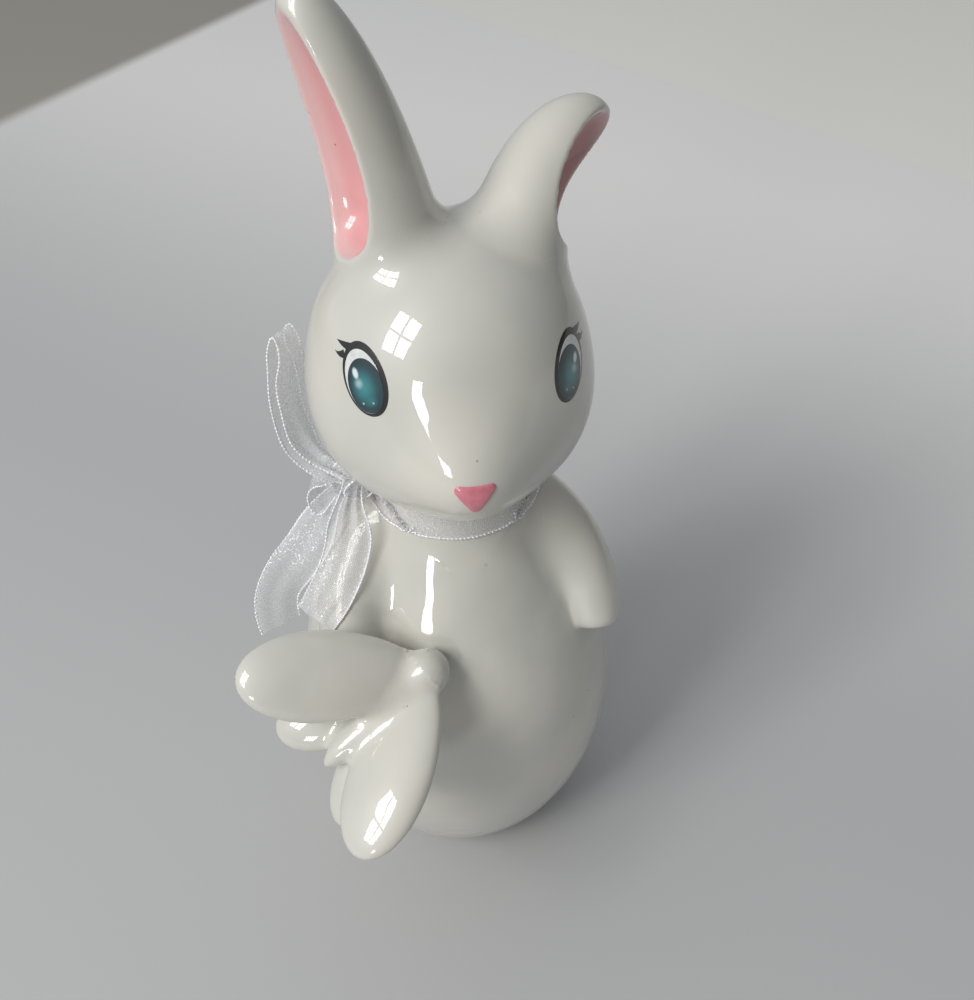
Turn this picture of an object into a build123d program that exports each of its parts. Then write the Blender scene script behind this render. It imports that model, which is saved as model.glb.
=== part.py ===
from build123d import *
import os
from math import acos, asin, cos, log, pi, radians, sin, sqrt

# A slip-cast ceramic rabbit that holds a butterfly and wears a tied ribbon.
# The origin is the centre of the foot, +Z is up and the rabbit faces -Y. Its right side is -X.
# Lengths are in millimetres and angles in degrees. A turn is measured from the front, positive
# towards the rabbit's left side.

# Body casting: a hollow pear with a solid neck
BODY_RADIUS = 48.6
BELLY_HEIGHT = 57.0
BODY_RISE = 84.0
BODY_DROP = 71.0
BODY_WALL = 4.5
FLOOR_THICKNESS = 5.5
NECK_RADIUS = 20.4
NECK_LENGTH = 12.0
NECK_FILLET = 12.0
FOOT_ROUNDING = 1.6
VENT_RADIUS = 1.75
VENT_OFFSET = 12.0
ARC_STEPS = 8
NECK_TOP = BELLY_HEIGHT + BODY_RISE + NECK_LENGTH

# Head casting: skull, cheeks and snout run into one another
SKULL_HALF_WIDTH = 35.0
SKULL_HALF_DEPTH = 35.0
SKULL_HALF_HEIGHT = 36.0
CHEEK_HALF_WIDTH = 33.2
CHEEK_HALF_DEPTH = 32.6
CHEEK_HALF_HEIGHT = 25.5
CHEEK_FORWARD = 3.5
CHEEK_DROP = 9.5
CHEEK_BLEND = 9.0
SNOUT_HALF_WIDTH = 11.6
SNOUT_HALF_DEPTH = 17.0
SNOUT_HALF_HEIGHT = 10.5
SNOUT_FORWARD = 25.6
SNOUT_DROP = 9.5
SNOUT_BLEND = 14.0
HEAD_WALL = 4.0
HEAD_AXIS_FORWARD = 2.0
NECK_SINK = 7.0
HEAD_SECTIONS = 14
HEAD_POINTS = 16
BISECTIONS = 34
HEAD_HEIGHT = NECK_TOP + CHEEK_HALF_HEIGHT + CHEEK_DROP - NECK_SINK
HEAD_REACH = 2 * (SNOUT_FORWARD + SNOUT_HALF_DEPTH)

# Eyes and nose, fired on the head as thin layers of colour
FILM = 0.3
FILM_REACH = 9.0
EYE_LENGTH = 17.3
EYE_WIDTH = 11.4
EYE_LEAN = 36.0
EYE_INNER_LENGTH = 14.8
EYE_INNER_WIDTH = 9.6
EYE_INNER_DROP = 0.4
EYE_INNER_OUT = 0.35
IRIS_LENGTH = 12.6
IRIS_WIDTH = 9.5
IRIS_DROP = 1.5
IRIS_OUT = 0.1
RIGHT_EYE_TURN = -42.1
RIGHT_EYE_RISE = 13.0
LEFT_EYE_TURN = 48.5
LEFT_EYE_RISE = 10.2
LASH_ROOT = 1.9
LASH_SHARES = (
    ((0.16, 0.88), (0.56, 1.03), (0.84, 1.24)),
    ((0.58, 0.80), (0.93, 0.80), (1.07, 1.00)),
)
NOSE_WIDTH = 11.6
NOSE_HEIGHT = 8.4
NOSE_LIFT = 0.3
NOSE_CORNER = 1.2
NOSE_THICKNESS = 0.6

# Ears: pods with a scoop that opens to the side, lined with pink enamel
EAR_TAPER_POWER = 3
EAR_STATIONS = 9
RIGHT_EAR_LENGTH = 66.0
RIGHT_EAR_RADIUS = 12.6
RIGHT_EAR_ROOT_SHARES = (-0.31, 0.06, 0.69)
RIGHT_EAR_BEND_SHARES = (-0.10, 0.03, 0.42)
RIGHT_EAR_TIP_SHARES = (-0.258, 0.03, 0.955)
RIGHT_EAR_OPENING = (-0.914, -0.407, 0.0)
LEFT_EAR_LENGTH = 44.0
LEFT_EAR_RADIUS = 12.0
LEFT_EAR_ROOT_SHARES = (0.457, 0.143, 0.681)
LEFT_EAR_BEND_SHARES = (0.24, 0.32, 0.465)
LEFT_EAR_TIP_SHARES = (0.625, 0.636, 0.455)
LEFT_EAR_OPENING = (0.852, -0.459, -0.22)
SCOOP_HALF_WIDTH_SHARE = 0.88
SCOOP_HALF_DEPTH_SHARE = 0.88
SCOOP_OFFSET_SHARE = 0.81
SCOOP_START_SHARE = 0.11
SCOOP_END_SHARE = 0.965
SCOOP_BULGE_SHARE = 0.42
ENAMEL = 0.3

# Arms, placed beside the body at the shoulder, the elbow and the paw
ARM_RADIUS = 9.6
ARM_DEPTH_SHARE = 0.92
ARM_BULGE_SHARE = 0.55
ARM_FULLNESS_SHARE = 0.34
LEFT_ARM_TURNS = (86.6, 79.0, 54.4)
LEFT_ARM_HEIGHT_SHARES = (0.952, 0.798, 0.524)
LEFT_ARM_STAND_OFF_SHARES = (0.23, 0.77, 0.43)
RIGHT_ARM_TURNS = (-86.6, -79.0, -39.0)
RIGHT_ARM_HEIGHT_SHARES = (0.952, 0.798, 0.50)
RIGHT_ARM_STAND_OFF_SHARES = (0.23, 0.77, 0.80)

# Tail, a round scut at the back
TAIL_HEIGHT = 27.0
TAIL_RADIUS = 11.0
TAIL_STAND_OFF = 1.0

# Butterfly, with its head against the belly and its trunk on the right paw
BUTTERFLY_TURN = -17.5
BUTTERFLY_HEIGHT_SHARE = 0.631
BUTTERFLY_HEAD_RADIUS = 6.2
TRUNK_LENGTH = 36.0
TRUNK_HALF_WIDTH = 5.7
TRUNK_BULGE_SHARE = 0.30
TRUNK_HEADING = (-0.811, -0.411, -0.417)
RIGHT_WING_UP = (-0.04, -0.60, 0.80)
LEFT_WING_UP = (-0.50, -0.46, 0.71)
FOREWING_LENGTH = 49.7
FOREWING_HALF_WIDTH = 11.8
FOREWING_HALF_THICKNESS = 5.0
FOREWING_BULGE_SHARE = 0.57
RIGHT_FOREWING_HEADING = (-0.970, -0.081, 0.234)
LEFT_FOREWING_HEADING = (-0.447, -0.790, -0.417)
RIGHT_HINDWING_LENGTH = 31.6
LEFT_HINDWING_LENGTH = 34.5
HINDWING_HALF_WIDTH = 7.8
HINDWING_HALF_THICKNESS = 3.6
HINDWING_BULGE_SHARE = 0.60
HINDWING_ROOT_SHARES = (-0.297, -0.119, -0.194)
RIGHT_HINDWING_HEADING = (-0.974, 0.054, -0.221)
LEFT_HINDWING_HEADING = (-0.470, -0.583, -0.661)

# A pod's loft runs through this many stations, and a girth under the limit closes it to a point
POD_STATIONS = 10
GIRTH_LIMIT_SHARE = 0.001

# Ribbon: one length of organza round the neck, tied at the rabbit's right side
RIBBON_WIDTH = 12.0
RIBBON_THICKNESS = 1.0
RIBBON_GAP = 0.2
BAND_DROP = 14.5
KNOT_TURN = -76.5
KNOT_RISE = 10.5
KNOT_HALF_DEPTH = 6.5
KNOT_HALF_WIDTH = 5.0
KNOT_HALF_HEIGHT = 5.5
KNOT_SINK = 0.6
BAND_BOTTOM = NECK_TOP - BAND_DROP

# Ribbon tails: places from the knot, as shares of the drop, and the way the width points at
# each end
TAIL_SPANS = 8
FRONT_TAIL_DROP = 30.5
FRONT_TAIL_PATH_SHARES = (
    (-0.02, -0.10, 0.02),
    (-0.07, -0.25, -0.11),
    (-0.11, -0.34, -0.43),
    (-0.24, -0.51, -0.69),
    (-0.47, -0.67, -1.00),
)
FRONT_TAIL_ACROSS = ((0.95, -0.20, -0.20), (0.65, -0.60, -0.45))
SIDE_TAIL_DROP = 38.9
SIDE_TAIL_PATH_SHARES = (
    (-0.08, -0.03, 0.00),
    (-0.22, -0.03, -0.22),
    (-0.37, -0.12, -0.45),
    (-0.53, -0.22, -0.62),
    (-0.62, -0.285, -0.785),
    (-0.62, -0.35, -1.00),
)
SIDE_TAIL_ACROSS = ((0.40, -0.90, 0.00), (0.87, 0.50, 0.00))

# Ribbon loops: each bends in the upright plane of its heading, in shares of its size
LOOP_SPANS = 16
UPPER_LOOP_RISE = 41.0
UPPER_LOOP_HEADING = (-0.80, 0.60, 0.0)
UPPER_LOOP_PATH_SHARES = (
    (0.04, 0.02),
    (0.195, 0.07),
    (0.34, 0.22),
    (0.385, 0.49),
    (0.385, 0.75),
    (0.37, 0.93),
    (0.405, 1.00),
    (0.45, 0.93),
    (0.46, 0.75),
    (0.455, 0.49),
    (0.40, 0.195),
    (0.23, 0.00),
    (0.07, -0.06),
)
LOWER_LOOP_REACH = 11.5
LOWER_LOOP_HEADING = (-0.97, 0.24, 0.0)
LOWER_LOOP_PATH_SHARES = (
    (0.30, 0.00),
    (0.74, 0.17),
    (1.00, -0.17),
    (0.83, -0.70),
    (0.35, -0.35),
)


def girth(height):
    """The body's radius at a height, without its neck."""
    half_height = BODY_RISE if height > BELLY_HEIGHT else BODY_DROP
    return BODY_RADIUS * sqrt(1 - ((height - BELLY_HEIGHT) / half_height) ** 2)


def beside_body(turn, height, stand_off):
    """The place at a turn and a height that stands off from the side of the body."""
    radius = girth(height) + stand_off
    return Vector(radius * sin(radians(turn)), -radius * cos(radians(turn)), height)


def egg_gap(point, centre, radii):
    """Signed gap from a point to an egg, negative inside."""
    near = [(p - c) / r for p, c, r in zip(point, centre, radii)]
    reach = sqrt(sum(n * n for n in near))
    slope = sqrt(sum((n / r) ** 2 for n, r in zip(near, radii)))
    return reach * (reach - 1) / slope


def smooth_join(first, second, blend):
    """The smaller of two gaps, rounded where they meet."""
    lean = min(max((blend + second - first) / (2 * blend), 0), 1)
    return second * (1 - lean) + first * lean - blend * lean * (1 - lean)


def head_gap(point):
    """Signed gap from a point to the outside of the head."""
    skull = egg_gap(
        point, (0, 0, HEAD_HEIGHT), (SKULL_HALF_WIDTH, SKULL_HALF_DEPTH, SKULL_HALF_HEIGHT)
    )
    cheeks = egg_gap(
        point,
        (0, -CHEEK_FORWARD, HEAD_HEIGHT - CHEEK_DROP),
        (CHEEK_HALF_WIDTH, CHEEK_HALF_DEPTH, CHEEK_HALF_HEIGHT),
    )
    snout = egg_gap(
        point,
        (0, -SNOUT_FORWARD, HEAD_HEIGHT - SNOUT_DROP),
        (SNOUT_HALF_WIDTH, SNOUT_HALF_DEPTH, SNOUT_HALF_HEIGHT),
    )
    return smooth_join(smooth_join(skull, cheeks, CHEEK_BLEND), snout, SNOUT_BLEND)


def head_point(start, direction, level):
    """Where a ray from inside the head meets the surface grown by level."""
    low, high = 0, HEAD_REACH
    for _ in range(BISECTIONS):
        middle = (low + high) / 2
        if head_gap(tuple(start + direction * middle)) < level:
            low = middle
        else:
            high = middle
    return start + direction * low


def head_ring(start, level):
    """A level slice of the head, drawn as its left and right halves from front to back."""
    halves = []
    for side in (1, -1):
        turns = [pi * index / HEAD_POINTS for index in range(HEAD_POINTS + 1)]
        rays = [Vector(side * sin(turn), -cos(turn), 0) for turn in turns]
        points = [head_point(start, ray, level) for ray in rays]
        halves.append(Spline(*points, tangents=((side, 0, 0), (-side, 0, 0))))
    return make_face(halves)


def head_form(level):
    """The head's outer form, grown by level, as a loft through level rings."""
    core = Vector(0, -HEAD_AXIS_FORWARD, HEAD_HEIGHT)
    top = head_point(core, Vector(0, 0, 1), level)
    bottom = head_point(core, Vector(0, 0, -1), level)
    sections = [Vertex(*bottom)]
    for step in range(1, HEAD_SECTIONS):
        climb = -cos(pi * step / HEAD_SECTIONS)
        end = top if climb > 0 else bottom
        start = core + (end - core) * abs(climb)
        sections.append(head_ring(start, level))
    sections.append(Vertex(*top))
    return loft(sections)


def egg_arc(radius, half_height, start, end):
    """Part of the body's outline, between two angles in radians about the belly's centre."""
    angles = [start + (end - start) * index / ARC_STEPS for index in range(ARC_STEPS + 1)]
    points = [
        (radius * cos(angle), BELLY_HEIGHT + half_height * sin(angle)) for angle in angles
    ]
    tangents = [(-radius * sin(angle), half_height * cos(angle)) for angle in (start, end)]
    return Spline(*points, tangents=tangents)


def column(radius, bottom, top, back=0):
    """An upright cylinder, on the main axis or set back from it."""
    upright = (Align.CENTER, Align.CENTER, Align.MIN)
    return Pos(0, back, bottom) * Cylinder(radius, top - bottom, align=upright)


def body_form():
    """The body as one full solid with its neck and rounded foot, before it is hollowed."""
    lower = egg_arc(BODY_RADIUS, BODY_DROP, -asin(BELLY_HEIGHT / BODY_DROP), 0)
    upper = egg_arc(BODY_RADIUS, BODY_RISE, 0, acos(NECK_RADIUS / BODY_RADIUS))
    foot, shoulder = lower @ 0, upper @ 1
    rim = Polyline(shoulder, (NECK_RADIUS, NECK_TOP), (0, NECK_TOP), (0, 0), foot)
    outline = make_face([lower, upper, *rim.edges()])
    outline = fillet(outline.vertices().sort_by_distance(shoulder)[0], NECK_FILLET)
    outline = fillet(outline.vertices().sort_by_distance(foot)[0], FOOT_ROUNDING)
    return revolve(Plane.XZ * outline, Axis.Z)


def body_hollow():
    """The space inside the body, down to its floor."""
    radius = BODY_RADIUS - BODY_WALL
    drop = BODY_DROP - BODY_WALL
    lower = egg_arc(radius, drop, -asin((BELLY_HEIGHT - FLOOR_THICKNESS) / drop), 0)
    upper = egg_arc(radius, BODY_RISE - BODY_WALL, 0, pi / 2)
    rim = Polyline(upper @ 1, (0, FLOOR_THICKNESS), lower @ 0)
    return revolve(Plane.XZ * make_face([lower, upper, *rim.edges()]), Axis.Z)


def body_casting(body, head):
    """The hollow body, seated under the head, with a vent in its floor and one up its neck."""
    vent = column(VENT_RADIUS, -FLOOR_THICKNESS, HEAD_HEIGHT, VENT_OFFSET)
    return body - head - body_hollow() - vent


def head_casting(head):
    """The hollow head, with its vent over the one in the neck."""
    vent = column(VENT_RADIUS, BELLY_HEIGHT, HEAD_HEIGHT, VENT_OFFSET)
    return head - head_form(-HEAD_WALL) - vent


def closed_stations(bulge_share):
    """Places along a pod closed at both ends, each with its share of the full girth."""
    power = log(bulge_share) / log(1 / 2)
    turns = [pi * index / POD_STATIONS for index in range(POD_STATIONS + 1)]
    return [(((1 - cos(turn)) / 2) ** power, sin(turn)) for turn in turns]


def tapered_stations():
    """Places along a pod that is full at its root and closed at its tip."""
    places = [sin(pi / 2 * index / EAR_STATIONS) for index in range(EAR_STATIONS)] + [1]
    return [(place, sqrt(1 - place**EAR_TAPER_POWER)) for place in places]


def pod(path, half_width, half_depth, across, stations):
    """A loft through ellipses square to a path. A station of no girth closes it to a point."""
    sections = []
    for along, share in stations:
        place = path @ along
        if abs(share) < GIRTH_LIMIT_SHARE:
            sections.append(Vertex(*place))
            continue
        heading = (path % along).normalized()
        side = (across - heading * across.dot(heading)).normalized()
        section = Plane(origin=place, x_dir=side, z_dir=heading)
        sections.append(section * Ellipse(half_width * share, half_depth * share))
    return loft(sections)


def ear(head, length, radius, root_shares, bend_shares, tip_shares, opening):
    """One ear and the layer of pink enamel that lines its scoop."""
    skull = zip(root_shares, (SKULL_HALF_WIDTH, SKULL_HALF_DEPTH, SKULL_HALF_HEIGHT))
    root = Vector(0, 0, HEAD_HEIGHT) + Vector(*[share * size for share, size in skull])
    bend = root + Vector(*bend_shares) * length
    tip = root + Vector(*tip_shares) * length
    spine = Bezier(root, bend, tip)
    across = (spine % 0).cross(Vector(*opening))
    full = pod(spine, radius, radius, across, tapered_stations())
    shift = Vector(*opening).normalized() * radius * SCOOP_OFFSET_SHARE
    run_share = SCOOP_END_SHARE - SCOOP_START_SHARE
    stations = [
        (SCOOP_START_SHARE + run_share * along, share)
        for along, share in closed_stations(SCOOP_BULGE_SHARE)
    ]
    half_sizes = radius * SCOOP_HALF_WIDTH_SHARE, radius * SCOOP_HALF_DEPTH_SHARE
    scoop_spine = Pos(*shift) * spine
    scoop = pod(scoop_spine, *half_sizes, across, stations)
    skin_sizes = [size - ENAMEL for size in half_sizes]
    skin = pod(scoop_spine, *skin_sizes, across, stations)
    lining = (full & scoop) - skin - head
    return full - scoop - head, lining.solids().sort_by(SortBy.VOLUME)[-1]


def arm(body, turns, height_shares, stand_off_shares):
    """An arm that lies against the body and ends in a blunt paw."""
    places = []
    for turn, height_share, stand_off_share in zip(turns, height_shares, stand_off_shares):
        height = BELLY_HEIGHT + BODY_RISE * height_share
        places.append(beside_body(turn, height, ARM_RADIUS * stand_off_share))
    spine = Bezier(*places)
    stations = [
        (along, share**ARM_FULLNESS_SHARE) for along, share in closed_stations(ARM_BULGE_SHARE)
    ]
    across = (spine % 0).cross(Vector(places[0].X, 0, 0))
    return pod(spine, ARM_RADIUS, ARM_RADIUS * ARM_DEPTH_SHARE, across, stations) - body


def tail(body):
    """The round scut, set against the back of the body."""
    centre = (0, girth(TAIL_HEIGHT) + TAIL_STAND_OFF, TAIL_HEIGHT)
    return Pos(*centre) * Sphere(TAIL_RADIUS) - body


def butterfly_head_place():
    height = BELLY_HEIGHT + BODY_RISE * BUTTERFLY_HEIGHT_SHARE
    return beside_body(BUTTERFLY_TURN, height, BUTTERFLY_HEAD_RADIUS)


def butterfly_body(body, paw):
    """The butterfly's round head and tapering trunk, seated on the paw and the belly."""
    head_place = butterfly_head_place()
    spine = Line(head_place, head_place + Vector(*TRUNK_HEADING) * TRUNK_LENGTH)
    across = (spine % 0).cross(Vector(*RIGHT_WING_UP))
    stations = closed_stations(TRUNK_BULGE_SHARE)
    trunk = pod(spine, TRUNK_HALF_WIDTH, TRUNK_HALF_WIDTH, across, stations)
    return Pos(*head_place) * Sphere(BUTTERFLY_HEAD_RADIUS) + trunk - body - paw


def wing(root, heading, length, top, half_width, half_thickness, bulge_share):
    """One plump wing, broadest past its middle, with its broad face towards top."""
    spine = Line(root, root + Vector(*heading) * length)
    across = (spine % 0).cross(Vector(*top))
    return pod(spine, half_width, half_thickness, across, closed_stations(bulge_share))


def forewing(heading, top):
    half_sizes = FOREWING_HALF_WIDTH, FOREWING_HALF_THICKNESS
    root = butterfly_head_place()
    return wing(root, heading, FOREWING_LENGTH, top, *half_sizes, FOREWING_BULGE_SHARE)


def hindwing(heading, length, top):
    half_sizes = HINDWING_HALF_WIDTH, HINDWING_HALF_THICKNESS
    root = butterfly_head_place() + Vector(*HINDWING_ROOT_SHARES) * TRUNK_LENGTH
    return wing(root, heading, length, top, *half_sizes, HINDWING_BULGE_SHARE)


def eye_plane(turn, rise):
    """A plane on the head at one eye, with its y axis along the eye's length."""
    ahead = Vector(sin(radians(turn)), -cos(radians(turn)), 0)
    place = head_point(Vector(0, 0, HEAD_HEIGHT + rise), ahead, 0)
    slope = [
        head_gap(tuple(place + axis * FILM)) - head_gap(tuple(place - axis * FILM))
        for axis in (Vector(1, 0, 0), Vector(0, 1, 0), Vector(0, 0, 1))
    ]
    normal = Vector(*slope).normalized()
    flat = Plane(origin=place, x_dir=Vector(0, 0, 1).cross(normal), z_dir=normal)
    return flat.rotated((0, 0, EYE_LEAN if turn < 0 else -EYE_LEAN))


def lash(out, shares):
    """One tapered, upswept lash that grows out of the dark line round the eye."""
    root, bend, tip = [
        Vector(across * out * EYE_WIDTH / 2, up * EYE_LENGTH / 2) for across, up in shares
    ]
    ray = (bend - root).normalized()
    side = Vector(-ray.Y, ray.X) * LASH_ROOT / 2
    upper = Bezier(root + side, bend + side / 2, tip)
    lower = Bezier(root - side, bend - side / 2, tip)
    return make_face([upper, lower, Line(root + side, root - side)])


def painted_patch(head, coated_head, plane, shape):
    """A thin layer on the head, cut to a flat shape seen square to its plane."""
    return (coated_head & extrude(plane * shape, FILM_REACH, both=True)) - head


def eye(head, coated_head, turn, rise):
    """The three fired colours of one eye: its dark line with lashes, its white and its iris."""
    plane = eye_plane(turn, rise)
    out = -1 if turn < 0 else 1
    inner_place = Pos(out * EYE_INNER_OUT, -EYE_INNER_DROP)
    inner = inner_place * Ellipse(EYE_INNER_WIDTH / 2, EYE_INNER_LENGTH / 2)
    iris = Pos(out * IRIS_OUT, -IRIS_DROP) * Ellipse(IRIS_WIDTH / 2, IRIS_LENGTH / 2)
    whole = Ellipse(EYE_WIDTH / 2, EYE_LENGTH / 2)
    for shares in LASH_SHARES:
        whole += lash(out, shares)
    patch = painted_patch(head, coated_head, plane, whole)
    inner_column = extrude(plane * inner, FILM_REACH, both=True)
    iris_column = extrude(plane * iris, FILM_REACH, both=True)
    inside = patch & inner_column
    return patch - inner_column, cleared(inside, [iris_column]), inside & iris_column


def nose(head):
    """The pink nose, a rounded triangle on the tip of the snout."""
    half = NOSE_WIDTH / 2
    corners = (-half, NOSE_HEIGHT / 2), (half, NOSE_HEIGHT / 2), (0, -NOSE_HEIGHT / 2)
    triangle = make_face(Polyline(*corners, close=True))
    shape = fillet(triangle.vertices(), NOSE_CORNER)
    middle = HEAD_HEIGHT - SNOUT_DROP + NOSE_LIFT
    tip = head_point(Vector(0, -HEAD_AXIS_FORWARD, middle), Vector(0, -1, 0), 0)
    front = Plane(origin=tip, x_dir=(1, 0, 0), z_dir=(0, -1, 0))
    return painted_patch(head, head_form(NOSE_THICKNESS), front, shape)


def neck_band(neighbours):
    """The ribbon's turn round the neck, up against the underside of the head."""
    inner_radius = NECK_RADIUS + RIBBON_GAP
    band_top = BAND_BOTTOM + RIBBON_WIDTH
    outer = column(inner_radius + RIBBON_THICKNESS, BAND_BOTTOM, band_top)
    return cleared(outer - column(inner_radius, BAND_BOTTOM, band_top), neighbours)


def knot_place():
    radius = NECK_RADIUS + RIBBON_GAP + RIBBON_THICKNESS + KNOT_HALF_DEPTH - KNOT_SINK
    turn = radians(KNOT_TURN)
    return Vector(radius * sin(turn), -radius * cos(turn), BAND_BOTTOM + KNOT_RISE)


def cleared(form, neighbours):
    """A form cut back from its neighbours, without any crumb that the cuts leave."""
    for neighbour in neighbours:
        form -= neighbour
    return form.solids().sort_by(SortBy.VOLUME)[-1]


def knot(neighbours):
    """The tied knot, pressed against the turn round the neck."""
    egg = scale(Sphere(1), (KNOT_HALF_DEPTH, KNOT_HALF_WIDTH, KNOT_HALF_HEIGHT))
    return cleared(Pos(*knot_place()) * Rot(0, 0, KNOT_TURN - 90) * egg, neighbours)


def ribbon_strip(path, start_across, end_across, spans, neighbours):
    """A stretch of ribbon along a path. Its width turns evenly from the start to the end."""
    sections = []
    for index in range(spans + 1):
        along = index / spans
        heading = (path % along).normalized()
        across = start_across * (1 - along) + end_across * along
        side = (across - heading * across.dot(heading)).normalized()
        section = Plane(origin=path @ along, x_dir=side, z_dir=heading)
        sections.append(section * Rectangle(RIBBON_WIDTH, RIBBON_THICKNESS))
    return cleared(loft(sections), neighbours)


def ribbon_tail(drop, path_shares, across_pair, neighbours):
    """A free end of the ribbon, which turns its face as it falls."""
    path = Spline(*[knot_place() + Vector(*share) * drop for share in path_shares])
    start, end = [Vector(*across) for across in across_pair]
    return ribbon_strip(path, start, end, TAIL_SPANS, neighbours)


def ribbon_loop(size, heading, path_shares, neighbours):
    """A loop of the bow, which leaves the knot and comes back to it."""
    outward, upward = Vector(*heading) * size, Vector(0, 0, size)
    path = Spline(*[knot_place() + outward * out + upward * up for out, up in path_shares])
    across = outward.cross(upward)
    return ribbon_strip(path, across, across, LOOP_SPANS, neighbours)


body_full = body_form()
head_full = head_form(0)
head_coated = head_form(FILM)

parts = {
    "body_casting": body_casting(body_full, head_full),
    "head_casting": head_casting(head_full),
    "nose": nose(head_full),
    "tail": tail(body_full),
}

parts["ear_right"], parts["inner_ear_right"] = ear(
    head_full,
    RIGHT_EAR_LENGTH,
    RIGHT_EAR_RADIUS,
    RIGHT_EAR_ROOT_SHARES,
    RIGHT_EAR_BEND_SHARES,
    RIGHT_EAR_TIP_SHARES,
    RIGHT_EAR_OPENING,
)
parts["ear_left"], parts["inner_ear_left"] = ear(
    head_full,
    LEFT_EAR_LENGTH,
    LEFT_EAR_RADIUS,
    LEFT_EAR_ROOT_SHARES,
    LEFT_EAR_BEND_SHARES,
    LEFT_EAR_TIP_SHARES,
    LEFT_EAR_OPENING,
)

eyes = {
    "right": (RIGHT_EYE_TURN, RIGHT_EYE_RISE),
    "left": (LEFT_EYE_TURN, LEFT_EYE_RISE),
}
for side, (eye_turn, eye_rise) in eyes.items():
    layers = eye(head_full, head_coated, eye_turn, eye_rise)
    for layer, solid in zip(("line", "white", "iris"), layers):
        parts[f"eye_{layer}_{side}"] = solid

arm_right = arm(
    body_full, RIGHT_ARM_TURNS, RIGHT_ARM_HEIGHT_SHARES, RIGHT_ARM_STAND_OFF_SHARES
)
arm_left = arm(body_full, LEFT_ARM_TURNS, LEFT_ARM_HEIGHT_SHARES, LEFT_ARM_STAND_OFF_SHARES)
parts["arm_right"] = arm_right
parts["arm_left"] = arm_left

butterfly = butterfly_body(body_full, arm_right)
seats = [butterfly, body_full, arm_right]
forewing_right = cleared(forewing(RIGHT_FOREWING_HEADING, RIGHT_WING_UP), seats)
forewing_left = cleared(
    forewing(LEFT_FOREWING_HEADING, LEFT_WING_UP), [*seats, forewing_right]
)
forewings = [forewing_right, forewing_left]
hindwing_right = cleared(
    hindwing(RIGHT_HINDWING_HEADING, RIGHT_HINDWING_LENGTH, RIGHT_WING_UP), [*seats, *forewings]
)
hindwing_left = cleared(
    hindwing(LEFT_HINDWING_HEADING, LEFT_HINDWING_LENGTH, LEFT_WING_UP),
    [*seats, *forewings, hindwing_right],
)
parts["butterfly_body"] = butterfly
parts["forewing_right"] = forewing_right
parts["forewing_left"] = forewing_left
parts["hindwing_right"] = hindwing_right
parts["hindwing_left"] = hindwing_left

# Each stretch of ribbon is cut back from the ceramic and from the stretches made before it
ribbon_neighbours = [body_full, head_full, arm_right, forewing_right]
ribbon = {"neck_band": neck_band([body_full, head_full, arm_right, arm_left])}
ribbon["knot"] = knot([ribbon["neck_band"], body_full, head_full])
ribbon["ribbon_tail_front"] = ribbon_tail(
    FRONT_TAIL_DROP,
    FRONT_TAIL_PATH_SHARES,
    FRONT_TAIL_ACROSS,
    [*ribbon_neighbours, *ribbon.values()],
)
ribbon["ribbon_tail_side"] = ribbon_tail(
    SIDE_TAIL_DROP,
    SIDE_TAIL_PATH_SHARES,
    SIDE_TAIL_ACROSS,
    [*ribbon_neighbours, *ribbon.values()],
)
ribbon["ribbon_loop_upper"] = ribbon_loop(
    UPPER_LOOP_RISE,
    UPPER_LOOP_HEADING,
    UPPER_LOOP_PATH_SHARES,
    [*ribbon_neighbours, *ribbon.values()],
)
ribbon["ribbon_loop_lower"] = ribbon_loop(
    LOWER_LOOP_REACH,
    LOWER_LOOP_HEADING,
    LOWER_LOOP_PATH_SHARES,
    [*ribbon_neighbours, *ribbon.values()],
)
parts.update(ribbon)

os.makedirs("parts", exist_ok=True)
for name, solid in parts.items():
    export_step(solid, f"parts/{name}.step")
    print(name, len(solid.solids()), round(solid.volume), solid.is_valid)
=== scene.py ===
"""Dresses the slip-cast rabbit in its glaze, painted face and organza bow."""

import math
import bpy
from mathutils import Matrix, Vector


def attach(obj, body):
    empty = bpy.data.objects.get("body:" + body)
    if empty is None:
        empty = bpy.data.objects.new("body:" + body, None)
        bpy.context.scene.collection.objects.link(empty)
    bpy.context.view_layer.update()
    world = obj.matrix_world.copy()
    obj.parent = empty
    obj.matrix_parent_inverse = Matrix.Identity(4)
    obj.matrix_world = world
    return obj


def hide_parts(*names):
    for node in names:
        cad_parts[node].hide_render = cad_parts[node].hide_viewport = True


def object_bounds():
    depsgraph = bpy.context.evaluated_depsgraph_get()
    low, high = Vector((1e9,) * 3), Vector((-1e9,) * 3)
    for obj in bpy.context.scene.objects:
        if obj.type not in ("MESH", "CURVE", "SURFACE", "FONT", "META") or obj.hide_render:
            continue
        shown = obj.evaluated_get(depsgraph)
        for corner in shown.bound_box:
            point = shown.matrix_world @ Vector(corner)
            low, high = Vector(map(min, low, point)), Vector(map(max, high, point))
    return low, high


bl_info = {
    "name": "Glazed Rabbit Figurine",
    "version": (1, 0, 0),
    "blender": (4, 5, 0),
    "location": "3D View > Sidebar > Rabbit",
    "description": "Builds a glazed ceramic rabbit that holds a butterfly and wears an organza bow",
    "category": "Object",
}

import bpy
import numpy as np
from mathutils import Vector

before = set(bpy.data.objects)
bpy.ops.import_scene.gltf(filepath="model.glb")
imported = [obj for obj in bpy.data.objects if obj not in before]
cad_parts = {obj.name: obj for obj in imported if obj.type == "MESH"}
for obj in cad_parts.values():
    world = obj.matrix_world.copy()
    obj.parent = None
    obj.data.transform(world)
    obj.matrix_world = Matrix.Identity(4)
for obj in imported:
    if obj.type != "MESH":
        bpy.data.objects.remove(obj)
CAD_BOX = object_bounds()

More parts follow.
